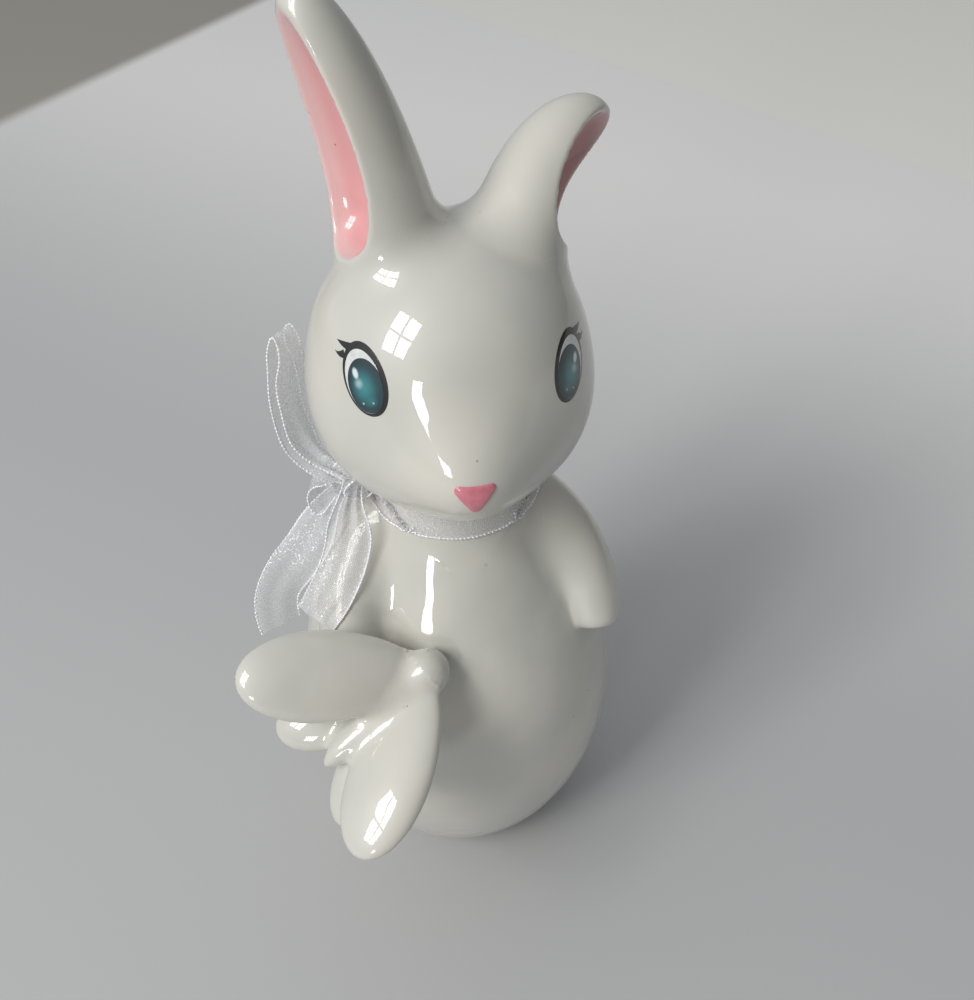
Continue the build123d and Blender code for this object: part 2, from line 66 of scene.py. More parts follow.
# Lengths of the figure are in millimetres here, and MM turns them into scene units.
# The rabbit faces -Y. A turn is in degrees from the front, positive towards its left side.
MM = 0.001
UPRIGHT = np.array([0.0, 0.0, 1.0])
FAR_OFF = 60.0
# Small numbers that keep roots and quotients away from nought.
TINY = 1e-8
SLOPE_TINY = 1e-12
LENGTH_TINY = 1e-9

# Steps and limits of the forms and their mesh
LEAST_GIRTH = 0.04
TAPER_NUDGE = 0.004
STEEPEST_TAPER = 3
END_SLACK = 1e-3
PATH_SAMPLE_COUNT = 25
PATH_TRY_COUNT = 15
PATH_ROUNDS = 4
SLOPE_NUDGE = 0.12
LEAST_STEEPNESS = 1e-3
SETTLE_ROUNDS = 3
CLEAR_ROUNDS = 3
CLEAR_STEP_GAPS = 4
BATCH_SIZE = 150000
BOX_MARGIN_GRAINS = 4

# Body
BODY_RADIUS = 48.6
BELLY_HEIGHT = 57.0
BODY_RISE = 84.0
BODY_DROP = 71.0
NECK_RADIUS = 20.4
NECK_TOP = 153.0
NECK_BASE = 118.0
FOOT_ROUNDING = 1.6
FLOOR_THICKNESS = 5.5
VENT_RADIUS = 1.75
VENT_BACK = 12.0
TAIL_HEIGHT = 27.0
TAIL_RADIUS = 11.0
TAIL_STAND_OFF = 1.0

# Head: centre and half sizes of the skull, the cheeks and the snout
HEAD_HEIGHT = 181.0
SKULL = ((0, 0, 0), (35.0, 35.0, 36.0))
CHEEKS = ((0, -3.5, -9.5), (33.2, 32.6, 25.5))
SNOUT = ((0, -25.6, -9.5), (11.6, 17.0, 10.5))
CHEEK_BLEND = 9.0
SNOUT_BLEND = 14.0

# Ears: root, bend and tip from the head's centre, and the way that the hollow opens
EAR_PLACES = {
    "right": ((-10.85, 2.1, 24.84), (-17.45, 4.08, 52.56), (-27.88, 4.08, 87.87)),
    "left": ((16.0, 5.0, 24.52), (26.56, 19.09, 44.98), (43.5, 32.99, 44.54)),
}
EAR_RADII = {"right": 12.6, "left": 12.0}
EAR_OPENINGS = {"right": (-0.914, -0.407, 0.0), "left": (0.852, -0.459, -0.22)}
EAR_TAPER_POWER = 3
SCOOP_HALF_SHARE = 0.88
SCOOP_OFFSET_SHARE = 0.81
SCOOP_START_SHARE = 0.11
SCOOP_END_SHARE = 0.965
SCOOP_BULGE_SHARE = 0.42
LINING_DEPTH = 1.8
LINING_BORDER = 1.4
SPRAY_RIM = (0.15, 0.9)
SPRAY_DEEP = (1.2, 6.0)
SPRAY_FLOOR = (1.3, 2.3)

# Arms: turn, height and stand-off from the body at the shoulder, the elbow and the paw
ARM_RADIUS = 9.6
ARM_DEPTH_SHARE = 0.92
ARM_BULGE_SHARE = 0.55
ARM_FULLNESS_SHARE = 0.34
ARM_PLACES = {
    "right": ((-86.6, 136.97, 2.2), (-79.0, 124.03, 7.4), (-39.0, 99.0, 7.7)),
    "left": ((86.6, 136.97, 2.2), (79.0, 124.03, 7.4), (54.4, 101.02, 4.1)),
}
SHOULDER_LOW = 104.0
SHOULDER_HIGH = 126.0

# Butterfly. Each of its pods has a root from the head, a heading, a length, half sizes,
# the share of its length where it is fullest, and the way that its flat side faces.
BUTTERFLY_TURN = -17.5
BUTTERFLY_HEIGHT = 110.0
BUTTERFLY_HEAD_RADIUS = 6.2
FORE_ROOT, HIND_ROOT = (0.0, 0.0, 0.0), (-10.69, -4.28, -6.98)
FORE_SIZES, HIND_SIZES = (11.8, 5.0), (7.8, 3.6)
RIGHT_TOP, LEFT_TOP = (-0.04, -0.60, 0.80), (-0.50, -0.46, 0.71)
TRUNK_POD = (FORE_ROOT, (-0.811, -0.411, -0.417), 36.0, (5.7, 5.7), 0.30, RIGHT_TOP)
WING_PODS = {
    "forewing_right": (FORE_ROOT, (-0.970, -0.081, 0.234), 49.7, FORE_SIZES, 0.57, RIGHT_TOP),
    "forewing_left": (FORE_ROOT, (-0.447, -0.790, -0.417), 49.7, FORE_SIZES, 0.57, LEFT_TOP),
    "hindwing_right": (HIND_ROOT, (-0.974, 0.054, -0.221), 31.6, HIND_SIZES, 0.60, RIGHT_TOP),
    "hindwing_left": (HIND_ROOT, (-0.470, -0.583, -0.661), 34.5, HIND_SIZES, 0.60, LEFT_TOP),
}

# Eyes and nose, fired on the head
FACE_REACH = 12.0
FACE_START_SHARE = 1.5
HALVINGS = 30
OVAL_COUNT = 96
EYE_RINGS = 10
IRIS_RINGS = 14
LASH_RINGS = 4
LASH_LIFT_SHARE = 1.2
FILM_SINK = 0.3
EYE_PLACES = {"right": (-42.1, 13.0), "left": (48.5, 10.2)}
EYE_LEAN = 36.0
EYE_SIZE = (11.4, 17.3)
EYE_WHITE = ((9.6, 14.8), (0.35, -0.4))
EYE_IRIS = ((9.5, 12.6), (0.1, -1.5))
LASH_ROOT = 1.9
LASH_TAPER_POWER = 1.5
LASH_COUNT = 17
LASH_SHARES = (
    ((0.16, 0.88), (0.56, 1.03), (0.84, 1.24)),
    ((0.58, 0.80), (0.93, 0.80), (1.07, 1.00)),
)
NOSE_SIZE = (11.6, 8.4)
NOSE_LIFT = 0.3
NOSE_CORNER = 1.2
NOSE_CORNER_COUNT = 12
NOSE_STEP = 0.35
NOSE_THICKNESS = 0.6
NOSE_EDGE = 0.1
NOSE_RINGS = 12

# Ribbon. Places along it are measured from the knot. A tail has its places, the way across it at
# its start and end, and the number and phase of its creases. A loop has its heading, its places
# along that and up, the number of its creases, and how far it is pinched where it folds back.
RIBBON_WIDTH = 12.0
RIBBON_GAP = 0.7
BAND_BOTTOM = 138.5
KNOT_TURN = -76.5
KNOT_HEIGHT = 149.0
KNOT_HALF_SIZES = (6.5, 5.5)
KNOT_RADIUS = 27.5
TAILS = {
    "ribbon_tail_front": (
        ((-0.6, -3.1, 0.6), (-2.1, -7.6, -3.4), (-3.4, -10.4, -13.1), (-7.3, -15.6, -21.0),
         (-14.3, -20.4, -30.5)),
        (0.95, -0.20, -0.20), (0.65, -0.60, -0.45), 2.6, 0.4,
    ),
    "ribbon_tail_side": (
        ((-3.1, -1.2, 0.0), (-8.6, -1.2, -8.6), (-14.4, -4.7, -17.5), (-20.6, -8.6, -24.1),
         (-24.1, -11.1, -30.5), (-24.1, -13.6, -38.9)),
        (0.40, -0.90, 0.0), (0.87, 0.50, 0.0), 2.0, 1.3,
    ),
}
LOOPS = {
    "ribbon_loop_upper": (
        (-0.80, 0.60, 0.0),
        ((1.6, 0.8), (8.0, 2.9), (13.9, 9.0), (15.8, 20.1), (15.8, 30.8), (15.2, 38.1),
         (16.6, 41.0), (18.5, 38.1), (18.9, 30.8), (18.7, 20.1), (16.4, 8.0), (9.4, 0.0),
         (2.9, -2.5)),
        2.0, 0.45,
    ),
    "ribbon_loop_lower": (
        (-0.97, 0.24, 0.0), ((3.5, 0.0), (8.5, 2.0), (11.5, -2.0), (9.5, -8.1), (4.0, -4.0)),
        1.5, 0.0,
    ),
}
ACROSS_COUNT = 33
BAND_COUNT = 180
KNOT_COUNT = 72
TAIL_COUNT = 72
LOOP_COUNT = 110
GATHER_SHARE = 0.42
OPEN_OUT_SHARE = 0.38
CREASE_DEPTH = 0.8
CREASE_LEFT = 0.22
CREASE_END_SHARE = 1.6
CREASE_SLANT = 2.2
PINCH_START_SHARE = 0.65
TAIL_CUP = 0.8
BAND_WAVE = 0.22
BAND_WAVE_COUNTS = (5, 13)
BAND_WAVE_SLANT = 0.15
BAND_CALM_SHARE = 0.4
KNOT_FILL_SHARE = 0.86
KNOT_GATHER_SHARE = 0.72
KNOT_CROWN = 1.2
KNOT_CREASE = 0.45
KNOT_CREASE_COUNT = 3.5
KNOT_CREASE_SWAY = 1.5
KNOT_GATHER_WAVE = 0.06
WIRE_SIDES = 6
PICOT_SEED = 7
PICOT_SIZE_RANGE = (0.75, 1.15)

# Finishes. Pattern scales are per metre. A range runs from low to high, and where it has four
# numbers, the last two are what low and high turn into.
GLAZE_IOR = 1.5
CLAY_ROUGHNESS = 0.42
GLAZE_WAVE_SCALE = 75.0
GLAZE_WAVE = 0.00012
GLAZE_WAVE_DETAIL = 1.5
GLAZE_POOL_SCALE = 28.0
GLAZE_POOL_RANGE = (0.35, 0.7)
RIPPLE_GAIN = 4.0
RIPPLE_TOP = (0.120, 0.145)
SPRAY_GRAIN_SCALE = 900.0
SPRAY_RAGGED = 0.35
SPECK_SCALE = 105.0
SPECK_SIZE = 0.03
SPECK_CORE_SHARE = 0.6
SPECK_STRENGTH = 0.7
FOOT_LINE = 0.0007
PAINT_SCALE = 700.0
THIN_PAINT_RANGE = (0.3, 0.75)
THIN_PAINT_SHARE = 0.86
THREAD_SCALE = 2500.0
PICOT_ROUGHNESS = 0.32
PICOT_GLINT_RANGE = (0.4, 0.65)
PICOT_METAL_RANGE = (0.4, 0.7, 0.1, 0.7)
GLINT_METAL_SHARE = 0.35
THREAD_RELIEF = 0.0001
THREAD_RELIEF_STRENGTH = 0.5
THREAD_UNEVENNESS = {"Y": 1.2, "X": 0.8}
THREAD_COVER_RANGE = (0.3, 0.95)
WAVES_PER_SCALE = 3.18
ORGANZA_PATCH_SCALE = 2.2
ORGANZA_PATCH_RANGE = (0.2, 0.8, 0.8, 1.2)
ORGANZA_EDGE_RANGE = (0.44, 0.49)
ORGANZA_ROUGHNESS_RANGE = (0.5, 0.75, 0.5, 0.22)
ORGANZA_SHEEN = 0.4
ORGANZA_GLINT_SCALE = 20.0
GLINT_RANGE = (0.57, 0.67)
GLINT_COVER = 0.45
FLOOR_BACK = (0.6, 0.8, 0.0)
BOARD_EDGES = (((-0.776, 0.630, 0.0), 0.569), ((0.781, 0.624, 0.0), 0.552))
BOARD_EDGE_BLUR = 0.02
BOARD_ROUGHNESS = 0.55
FLOOR_SPREAD = (0.05, 0.5)
SKY_SPREAD = (-0.45, 0.9)
SENSOR_WIDTH = 36.0
NEAR_CLIP = 0.01

# Marks in the iris, in shares of the eye's length: place, half size, softness and strength.
# Their places are for the left eye, and the right eye has them mirrored.
IRIS_BODY = ((0.0, -0.02), (0.19, 0.25), 0.7, 1.0)
IRIS_GLOWS = (
    ((0.04, 0.00), (0.12, 0.15), 0.95, 0.75),
    ((0.00, -0.22), (0.07, 0.05), 0.9, 0.35),
)
IRIS_LIGHTS = (
    ((0.09, 0.20), (0.042, 0.068), 0.4, 0.95),
    ((0.09, 0.06), (0.05, 0.05), 0.9, 0.45),
    ((0.13, -0.20), (0.014, 0.014), 0.6, 0.6),
    ((-0.02, -0.24), (0.014, 0.014), 0.6, 0.5),
)


def glaze_settings():
    return bpy.context.scene.rabbit_glaze


# Small tools for vectors and forms

def unit(vectors):
    """A vector, or each of some rows of them, at length 1."""
    vectors = np.asarray(vectors, float)
    lengths = np.linalg.norm(vectors, axis=-1, keepdims=True)
    return vectors / np.maximum(lengths, LENGTH_TINY)


def facing(turn):
    """The level direction at a turn."""
    angle = math.radians(turn)
    return np.array([math.sin(angle), -math.cos(angle), 0.0])


def ease(low, high, value):
    """A smooth step from 0 at low to 1 at high."""
    share = np.clip((value - low) / (high - low), 0, 1)
    return share * share * (3 - 2 * share)


def smooth_join(first, second, blend):
    """The smaller of two gaps, rounded where they meet."""
    lean = np.clip((blend + second - first) / (2 * blend), 0, 1)
    return second * (1 - lean) + first * lean - blend * lean * (1 - lean)


def smooth_cut(form, cutter, blend):
    """What is left of a form outside its cutter, with a rounded edge."""
    return -smooth_join(-form, cutter, blend)


def egg_gap(places, centre, radii):
    """Signed gap to an egg, negative inside."""
    near = (places - np.asarray(centre)) / radii
    reach = np.sqrt((near**2).sum(1) + TINY)
    slope = np.sqrt(((near / radii) ** 2).sum(1) + SLOPE_TINY)
    return reach * (reach - 1) / slope


def beside_body(turn, height, stand_off):
    """The place at a turn and a height that stands off from the side of the body."""
    half_height = BODY_RISE if height > BELLY_HEIGHT else BODY_DROP
    girth = BODY_RADIUS * math.sqrt(1 - ((height - BELLY_HEIGHT) / half_height) ** 2)
    return facing(turn) * (girth + stand_off) + UPRIGHT * height


class Pod:
    """A form swollen round a straight or bent path, with elliptical girths square to it."""

    def __init__(self, path, half_sizes, across, profile):
        self.straight = len(path) == 2
        root, bend, tip = path if len(path) == 3 else (path[0], sum(path) / 2, path[1])
        self.root, self.pull, self.swing = root, 2 * (bend - root), root - 2 * bend + tip
        self.half_width, self.half_depth = half_sizes
        self.across = unit(across)
        self.profile = profile
        reach = max(half_sizes)
        samples = self.at(np.linspace(0, 1, PATH_SAMPLE_COUNT))
        self.low, self.high = samples.min(0) - reach, samples.max(0) + reach

    def at(self, share):
        share = share[:, None]
        return self.root + self.pull * share + self.swing * share**2

    def heading(self, share):
        return self.pull + 2 * self.swing * share[:, None]

    def girth(self, share):
        return np.maximum(self.profile(share), LEAST_GIRTH)

    def nearest(self, places):
        """The share of the path nearest to each place."""
        if self.straight:
            return np.clip((places - self.root) @ self.pull / (self.pull @ self.pull), 0, 1)
        tries = np.linspace(0, 1, PATH_TRY_COUNT)
        away = ((places[:, None, :] - self.at(tries)[None]) ** 2).sum(2)
        share = tries[away.argmin(1)]
        for _ in range(PATH_ROUNDS):
            offset, heading = self.at(share) - places, self.heading(share)
            slope = (offset * heading).sum(1)
            curve = (heading**2).sum(1) + offset @ (2 * self.swing)
            share = np.clip(share - slope / np.maximum(curve, 1), 0, 1)
        return share

    def gap(self, places):
        """Signed gap from each place to the form. Far places only get a rough gap."""
        gaps = np.full(len(places), FAR_OFF)
        margin = FAR_OFF / 4
        close = ((places > self.low - margin) & (places < self.high + margin)).all(1)
        if close.any():
            gaps[close] = self.close_gap(places[close])
        return gaps

    def close_gap(self, places):
        share = self.nearest(places)
        heading = self.heading(share)
        pace = np.linalg.norm(heading, axis=1)
        heading = heading / pace[:, None]
        side = unit(self.across - heading * (heading @ self.across)[:, None])
        offset = places - self.at(share)
        wide = (offset * side).sum(1)
        deep = (offset * np.cross(heading, side)).sum(1)
        beyond = np.abs((offset * heading).sum(1))
        girth = self.girth(share)
        width, depth = self.half_width * girth, self.half_depth * girth
        near = np.sqrt((wide / width) ** 2 + (deep / depth) ** 2 + TINY)
        slope = np.sqrt((wide / width**2) ** 2 + (deep / depth**2) ** 2 + TINY / (width * depth))
        radial = near * (near - 1) / slope
        later = self.girth(np.clip(share + TAPER_NUDGE, 0, 1))
        sooner = self.girth(np.clip(share - TAPER_NUDGE, 0, 1))
        middling = math.sqrt(self.half_width * self.half_depth)
        taper = (later - sooner) / (2 * TAPER_NUDGE) * middling / pace
        radial = radial / np.sqrt(1 + np.clip(taper, -STEEPEST_TAPER, STEEPEST_TAPER) ** 2)
        return np.where(beyond > END_SLACK, np.hypot(np.maximum(radial, 0), beyond), radial)


def closed_profile(bulge_share, fullness=1.0):
    """Girth shares of a pod closed at both ends and fullest at its bulge."""
    power = math.log(2) / -math.log(bulge_share)

    def profile(share):
        swing = np.clip(share, 0, 1) ** power
        return (2 * np.sqrt(np.clip(swing * (1 - swing), 0, 1))) ** fullness

    return profile


def tapered_profile(share):
    return np.sqrt(np.clip(1 - share**EAR_TAPER_POWER, 0, 1))


def ear_pods(side):
    """The full form of one ear and the form of its hollow."""
    centre = UPRIGHT * HEAD_HEIGHT
    path = [centre + place for place in EAR_PLACES[side]]
    radius, opening = EAR_RADII[side], EAR_OPENINGS[side]
    across = np.cross(path[1] - path[0], opening)
    full = Pod(path, (radius, radius), across, tapered_profile)
    shift = unit(opening) * radius * SCOOP_OFFSET_SHARE
    hollow = closed_profile(SCOOP_BULGE_SHARE)
    run_share = SCOOP_END_SHARE - SCOOP_START_SHARE

    def scoop_profile(share):
        return hollow((share - SCOOP_START_SHARE) / run_share)

    half_size = radius * SCOOP_HALF_SHARE
    scoop = Pod([place + shift for place in path], (half_size, half_size), across, scoop_profile)
    return full, scoop


def arm_pod(side):
    path = [beside_body(*place) for place in ARM_PLACES[side]]
    across = np.cross(path[1] - path[0], (path[0][0], 0, 0))
    profile = closed_profile(ARM_BULGE_SHARE, ARM_FULLNESS_SHARE)
    return Pod(path, (ARM_RADIUS, ARM_RADIUS * ARM_DEPTH_SHARE), across, profile)


def butterfly_pod(offset, heading, length, half_sizes, bulge_share, top):
    root, heading = BUTTERFLY_HEAD + offset, np.array(heading)
    profile = closed_profile(bulge_share)
    return Pod([root, root + heading * length], half_sizes, np.cross(heading, top), profile)


BUTTERFLY_HEAD = beside_body(BUTTERFLY_TURN, BUTTERFLY_HEIGHT, BUTTERFLY_HEAD_RADIUS)
EARS = {side: ear_pods(side) for side in EAR_PLACES}
ARMS = {side: arm_pod(side) for side in ARM_PLACES}
TRUNK = butterfly_pod(*TRUNK_POD)
WINGS = {name: butterfly_pod(*pod) for name, pod in WING_PODS.items()}


def body_gap(places):
    rise = np.where(places[:, 2] > BELLY_HEIGHT, BODY_RISE, BODY_DROP)
    radii = np.stack([np.full(len(places), BODY_RADIUS)] * 2 + [rise], 1)
    pear = egg_gap(places, (0, 0, BELLY_HEIGHT), radii)
    height = places[:, 2]
    neck = np.hypot(places[:, 0], places[:, 1]) - NECK_RADIUS
    neck = np.maximum(neck, np.maximum(height - NECK_TOP, NECK_BASE - height))
    whole = smooth_join(pear, neck, glaze_settings().neck_fillet / MM)
    whole = smooth_cut(whole, height, FOOT_ROUNDING)
    vent = np.hypot(places[:, 0], places[:, 1] - VENT_BACK) - VENT_RADIUS
    return smooth_cut(whole, np.maximum(vent, height - FLOOR_THICKNESS), FOOT_ROUNDING / 4)


def head_gap(places):
    centre = UPRIGHT * HEAD_HEIGHT
    skull, cheeks, snout = [
        egg_gap(places, centre + offset, np.array(half_sizes))
        for offset, half_sizes in (SKULL, CHEEKS, SNOUT)
    ]
    return smooth_join(smooth_join(skull, cheeks, CHEEK_BLEND), snout, SNOUT_BLEND)


def ball_gap(places, centre, radius):
    return np.linalg.norm(places - centre, axis=1) - radius


def casting_gaps(places):
    """The gap to each casting on its own, by node name."""
    rim = glaze_settings().rim_rounding / MM
    gaps = {"body_casting": body_gap(places), "head_casting": head_gap(places)}
    for side, (full, scoop) in EARS.items():
        gaps[f"ear_{side}"] = smooth_cut(full.gap(places), scoop.gap(places), rim)
    for side, pod in ARMS.items():
        gaps[f"arm_{side}"] = pod.gap(places)
    tail = beside_body(180, TAIL_HEIGHT, TAIL_STAND_OFF)
    gaps["tail"] = ball_gap(places, tail, TAIL_RADIUS)
    head = ball_gap(places, BUTTERFLY_HEAD, BUTTERFLY_HEAD_RADIUS)
    gaps["butterfly_body"] = smooth_join(head, TRUNK.gap(places), glaze_settings().wing_fillet / MM)
    for name, pod in WINGS.items():
        gaps[name] = pod.gap(places)
    return gaps


def figure_gap(places, gaps=None):
    """The gap to the whole glazed figure, with slip and glaze filling its joints."""
    gaps = gaps or casting_gaps(places)
    settings = glaze_settings()
    whole = smooth_join(gaps["body_casting"], gaps["head_casting"], settings.collar_fillet / MM)
    for side in EARS:
        whole = smooth_join(whole, gaps[f"ear_{side}"], settings.ear_fillet / MM)
    shoulder = ease(SHOULDER_LOW, SHOULDER_HIGH, places[:, 2])
    arm_blend = (settings.paw_fillet + (settings.arm_fillet - settings.paw_fillet) * shoulder) / MM
    for side in ARMS:
        whole = smooth_join(whole, gaps[f"arm_{side}"], arm_blend)
    whole = smooth_join(whole, gaps["tail"], settings.paw_fillet / MM)
    butterfly = gaps["butterfly_body"]
    for name in WINGS:
        butterfly = smooth_join(butterfly, gaps[name], settings.wing_fillet / MM)
    return smooth_join(whole, butterfly, settings.seat_fillet / MM)


def slopes(gap, places):
    """The outward direction of a gap field, and how steep it is."""
    steps = np.eye(3) * SLOPE_NUDGE
    rise = np.stack([gap(places + step) - gap(places - step) for step in steps], 1)
    rise /= 2 * SLOPE_NUDGE
    steepness = np.maximum(np.linalg.norm(rise, axis=1), LEAST_STEEPNESS)
    return rise / steepness[:, None], steepness


# Casting meshes: the glazed surface on a grid, with each cell given to its nearest casting

CASTINGS = [
    "body_casting", "head_casting", "ear_right", "ear_left", "arm_right", "arm_left", "tail",
    "butterfly_body", *WINGS,
]
LININGS = [f"inner_ear_{side}" for side in EARS]
BLOCK = 8
SKIN_REACH = 1.5
JOINT_REACH = 2
SETTLE_SHARE = 0.4
NORMAL_AGREEMENT = 0.9
LEAST_FACING = 0.5


def in_batches(work, places):
    starts = range(0, len(places), BATCH_SIZE)
    return np.concatenate([work(places[start:start + BATCH_SIZE]) for start in starts])


def fill_and_owner(places):
    """The gap to the figure at each place, and the number of the casting that holds it."""
    gaps = casting_gaps(places)
    stack = np.stack([gaps[name] for name in CASTINGS], 1)
    owner = stack.argmin(1) + 1
    ranked = np.partition(stack, 1, axis=1)
    whole = figure_gap(places, gaps)
    for number, (side, (full, scoop)) in enumerate(EARS.items(), len(CASTINGS) + 1):
        near = owner == CASTINGS.index(f"ear_{side}") + 1
        if near.any():
            spots = places[near]
            lined = (scoop.gap(spots) < LINING_DEPTH) & (full.gap(spots) < -LINING_BORDER)
            owner[np.flatnonzero(near)[lined]] = number
    return np.stack([whole, owner, ranked[:, 1] - ranked[:, 0]], 1)


def spread(values, blocks):
    """Gives each cell the value of its block."""
    values = values.reshape(blocks)
    for axis in range(3):
        values = np.repeat(values, BLOCK, axis)
    return values


def sample_figure(grain):
    """The gap and the owner on a fine grid, worked out only near the surface and the joints."""
    margin = BOX_MARGIN_GRAINS * grain
    low, high = np.array(CAD_BOX[0]) / MM - margin, np.array(CAD_BOX[1]) / MM + margin
    blocks = np.ceil((high - low) / (grain * BLOCK)).astype(int)
    block_size = grain * BLOCK
    numbers = np.indices(blocks).reshape(3, -1).T
    middles = low + (numbers + 0.5) * block_size - grain / 2
    rough = in_batches(fill_and_owner, middles)
    busy = np.abs(rough[:, 0]) < SKIN_REACH * block_size
    busy |= (rough[:, 0] < 0) & (rough[:, 2] < JOINT_REACH * block_size)
    gap = spread(rough[:, 0], blocks)
    owner = spread(rough[:, 1], blocks).astype(np.int8)
    cells = np.indices((BLOCK,) * 3).reshape(3, -1).T
    spots = (numbers[busy][:, None, :] * BLOCK + cells[None]).reshape(-1, 3)
    fine = in_batches(fill_and_owner, low + spots * grain)
    index = np.ravel_multi_index(spots.T, gap.shape)
    gap.reshape(-1)[index] = fine[:, 0]
    owner.reshape(-1)[index] = fine[:, 1].astype(np.int8)
    return low, gap, np.where(gap < 0, owner, 0)


def tally(spots, vectors, count):
    """The sum of the vectors that fall on each spot."""
    return np.stack([np.bincount(spots, vectors[:, axis], count) for axis in range(3)], 1)


def surface_net(low, gap, solid, grain):
    """Joins the sampled cells into faces. Returns the places, which of them touch the air, and
    for each face its corners and the castings behind it and in front of it."""
    cells = np.array(solid.shape) - 1
    rings, spots, behind, ahead = [], [], [], []
    for axis in range(3):
        first, second = [slice(None)] * 3, [slice(None)] * 3
        first[axis], second[axis] = slice(None, -1), slice(1, None)
        first, second = tuple(first), tuple(second)
        edges = np.argwhere(solid[first] != solid[second])
        picked = tuple(edges.T)
        start_gap, end_gap = gap[first][picked], gap[second][picked]
        crosses = (start_gap < 0) != (end_gap < 0)
        drop = np.where(crosses, start_gap - end_gap, 1)
        spot = edges.astype(float)
        spot[:, axis] += np.where(crosses, start_gap / drop, 0.5)
        ring = []
        for right, up in ((-1, -1), (0, -1), (0, 0), (-1, 0)):
            cell = edges.copy()
            cell[:, (axis + 1) % 3] += right
            cell[:, (axis + 2) % 3] += up
            ring.append(np.ravel_multi_index(cell.T, cells))
        rings.append(np.stack(ring, 1))
        spots.append(spot)
        behind.append(solid[first][picked])
        ahead.append(solid[second][picked])
    rings, spots = np.concatenate(rings), np.concatenate(spots)
    behind, ahead = np.concatenate(behind), np.concatenate(ahead)
    used, corners = np.unique(rings, return_inverse=True)
    corners = corners.reshape(-1, 4)
    flat = corners.ravel()
    hits = np.bincount(flat, minlength=len(used))
    places = tally(flat, np.repeat(spots, 4, axis=0), len(used)) / hits[:, None]
    open_air = np.repeat((behind == 0) | (ahead == 0), 4)
    touches_air = np.bincount(flat, open_air, len(used)) > 0
    return low + places * grain, touches_air, corners, behind, ahead


def settle(places, grain):
    """Moves places on to the glazed surface."""
    start, places = places, places.copy()
    for _ in range(SETTLE_ROUNDS):
        direction, steepness = slopes(figure_gap, places)
        step = np.clip(figure_gap(places) / steepness, -grain / 2, grain / 2)
        places -= direction * step[:, None]
    moved = places - start
    far = np.maximum(np.linalg.norm(moved, axis=1) / (grain * SETTLE_SHARE), 1)
    return start + moved / far[:, None]


def skin_normals(places, corners, behind, ahead):
    """The outward direction at each place, from the faces that touch the air."""
    skin = (behind == 0) | (ahead == 0)
    rings = np.where((behind == 0)[skin, None], corners[skin][:, ::-1], corners[skin])
    flat = np.cross(places[rings[:, 2]] - places[rings[:, 0]],
                    places[rings[:, 3]] - places[rings[:, 1]])
    return unit(tally(rings.ravel(), np.repeat(flat, 4, axis=0), len(places)))


def add_object(name, data):
    thing = bpy.data.objects.new(name, data)
    bpy.context.scene.collection.objects.link(thing)
    return thing


def make_mesh(name, places, faces, normals=None):
    """A mesh object from places in millimetres, with its own corner normals where given."""
    mesh = bpy.data.meshes.new(name)
    mesh.from_pydata((np.asarray(places) * MM).tolist(), [], [list(face) for face in faces])
    mesh.shade_smooth()
    if normals is not None:
        mesh.normals_split_custom_set(np.asarray(normals).tolist())
    return add_object(name, mesh)


def give_attribute(piece, name, values):
    attribute = piece.data.attributes.new(name, "FLOAT", "POINT")
    attribute.data.foreach_set("value", np.asarray(values, np.float32))


def dress(piece, node, material):
    """Rides a piece on the figure, in the place of its node."""
    piece.data.materials.append(material)
    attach(piece, "root")
    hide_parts(node)


def cut_casting(number, places, outward, corners, behind, ahead):
    """One casting's closed mesh out of the figure's net, with its normals."""
    held, turned = behind == number, ahead == number
    faces = np.concatenate([corners[held], corners[turned][:, ::-1]])
    other = np.concatenate([ahead[held], behind[turned]])
    used, local = np.unique(faces, return_inverse=True)
    local = local.reshape(-1, 4)
    spots = places[used]
    diagonals = spots[local[:, 2]] - spots[local[:, 0]], spots[local[:, 3]] - spots[local[:, 1]]
    flat = unit(np.cross(*diagonals))
    corner_normals = outward[used][local]
    joint = other != 0
    corner_normals[joint] = flat[joint][:, None, :]
    strays = (corner_normals * flat[:, None, :]).sum(2) < LEAST_FACING
    corner_normals = np.where(strays[..., None], flat[:, None, :], corner_normals)
    return spots, local, corner_normals.reshape(-1, 3)


def build_castings():
    """The whole glazed figure, as one closed mesh for each casting and each ear lining."""
    grain = glaze_settings().grain / MM * 1
    low, gap, solid = sample_figure(grain)
    places, touches_air, corners, behind, ahead = surface_net(low, gap, solid, grain)
    places[touches_air] = in_batches(lambda spots: settle(spots, grain), places[touches_air])
    outward = skin_normals(places, corners, behind, ahead)
    smooth = np.zeros_like(places)
    smooth[touches_air] = in_batches(
        lambda spots: slopes(figure_gap, spots)[0], places[touches_air]
    )
    agreed = (smooth * outward).sum(1) > NORMAL_AGREEMENT
    outward[agreed] = smooth[agreed]
    plain, sprayed = finish("white_glaze", glaze), finish("ear_glaze", glaze, True)
    for number, node in enumerate([*CASTINGS, *LININGS], 1):
        spots, faces, normals = cut_casting(number, places, outward, corners, behind, ahead)
        piece = make_mesh(f"{node}_glazed", spots, faces, normals)
        side = node.rpartition("_")[2]
        if "ear" in node:
            give_attribute(piece, "rim_depth", -EARS[side][0].gap(spots))
            give_attribute(piece, "hollow_gap", EARS[side][1].gap(spots))
        material = sprayed if "ear" in node else plain
        dress(piece, node, material)


# Painted face

def on_head(places, direction):
    """Slides places inwards along a direction until they meet the head."""
    near, far = np.zeros(len(places)), np.full(len(places), 2 * FACE_REACH)
    for _ in range(HALVINGS):
        middle = (near + far) / 2
        outside = head_gap(places + middle[:, None] * direction) > 0
        near, far = np.where(outside, middle, near), np.where(outside, far, middle)
    return places + near[:, None] * direction


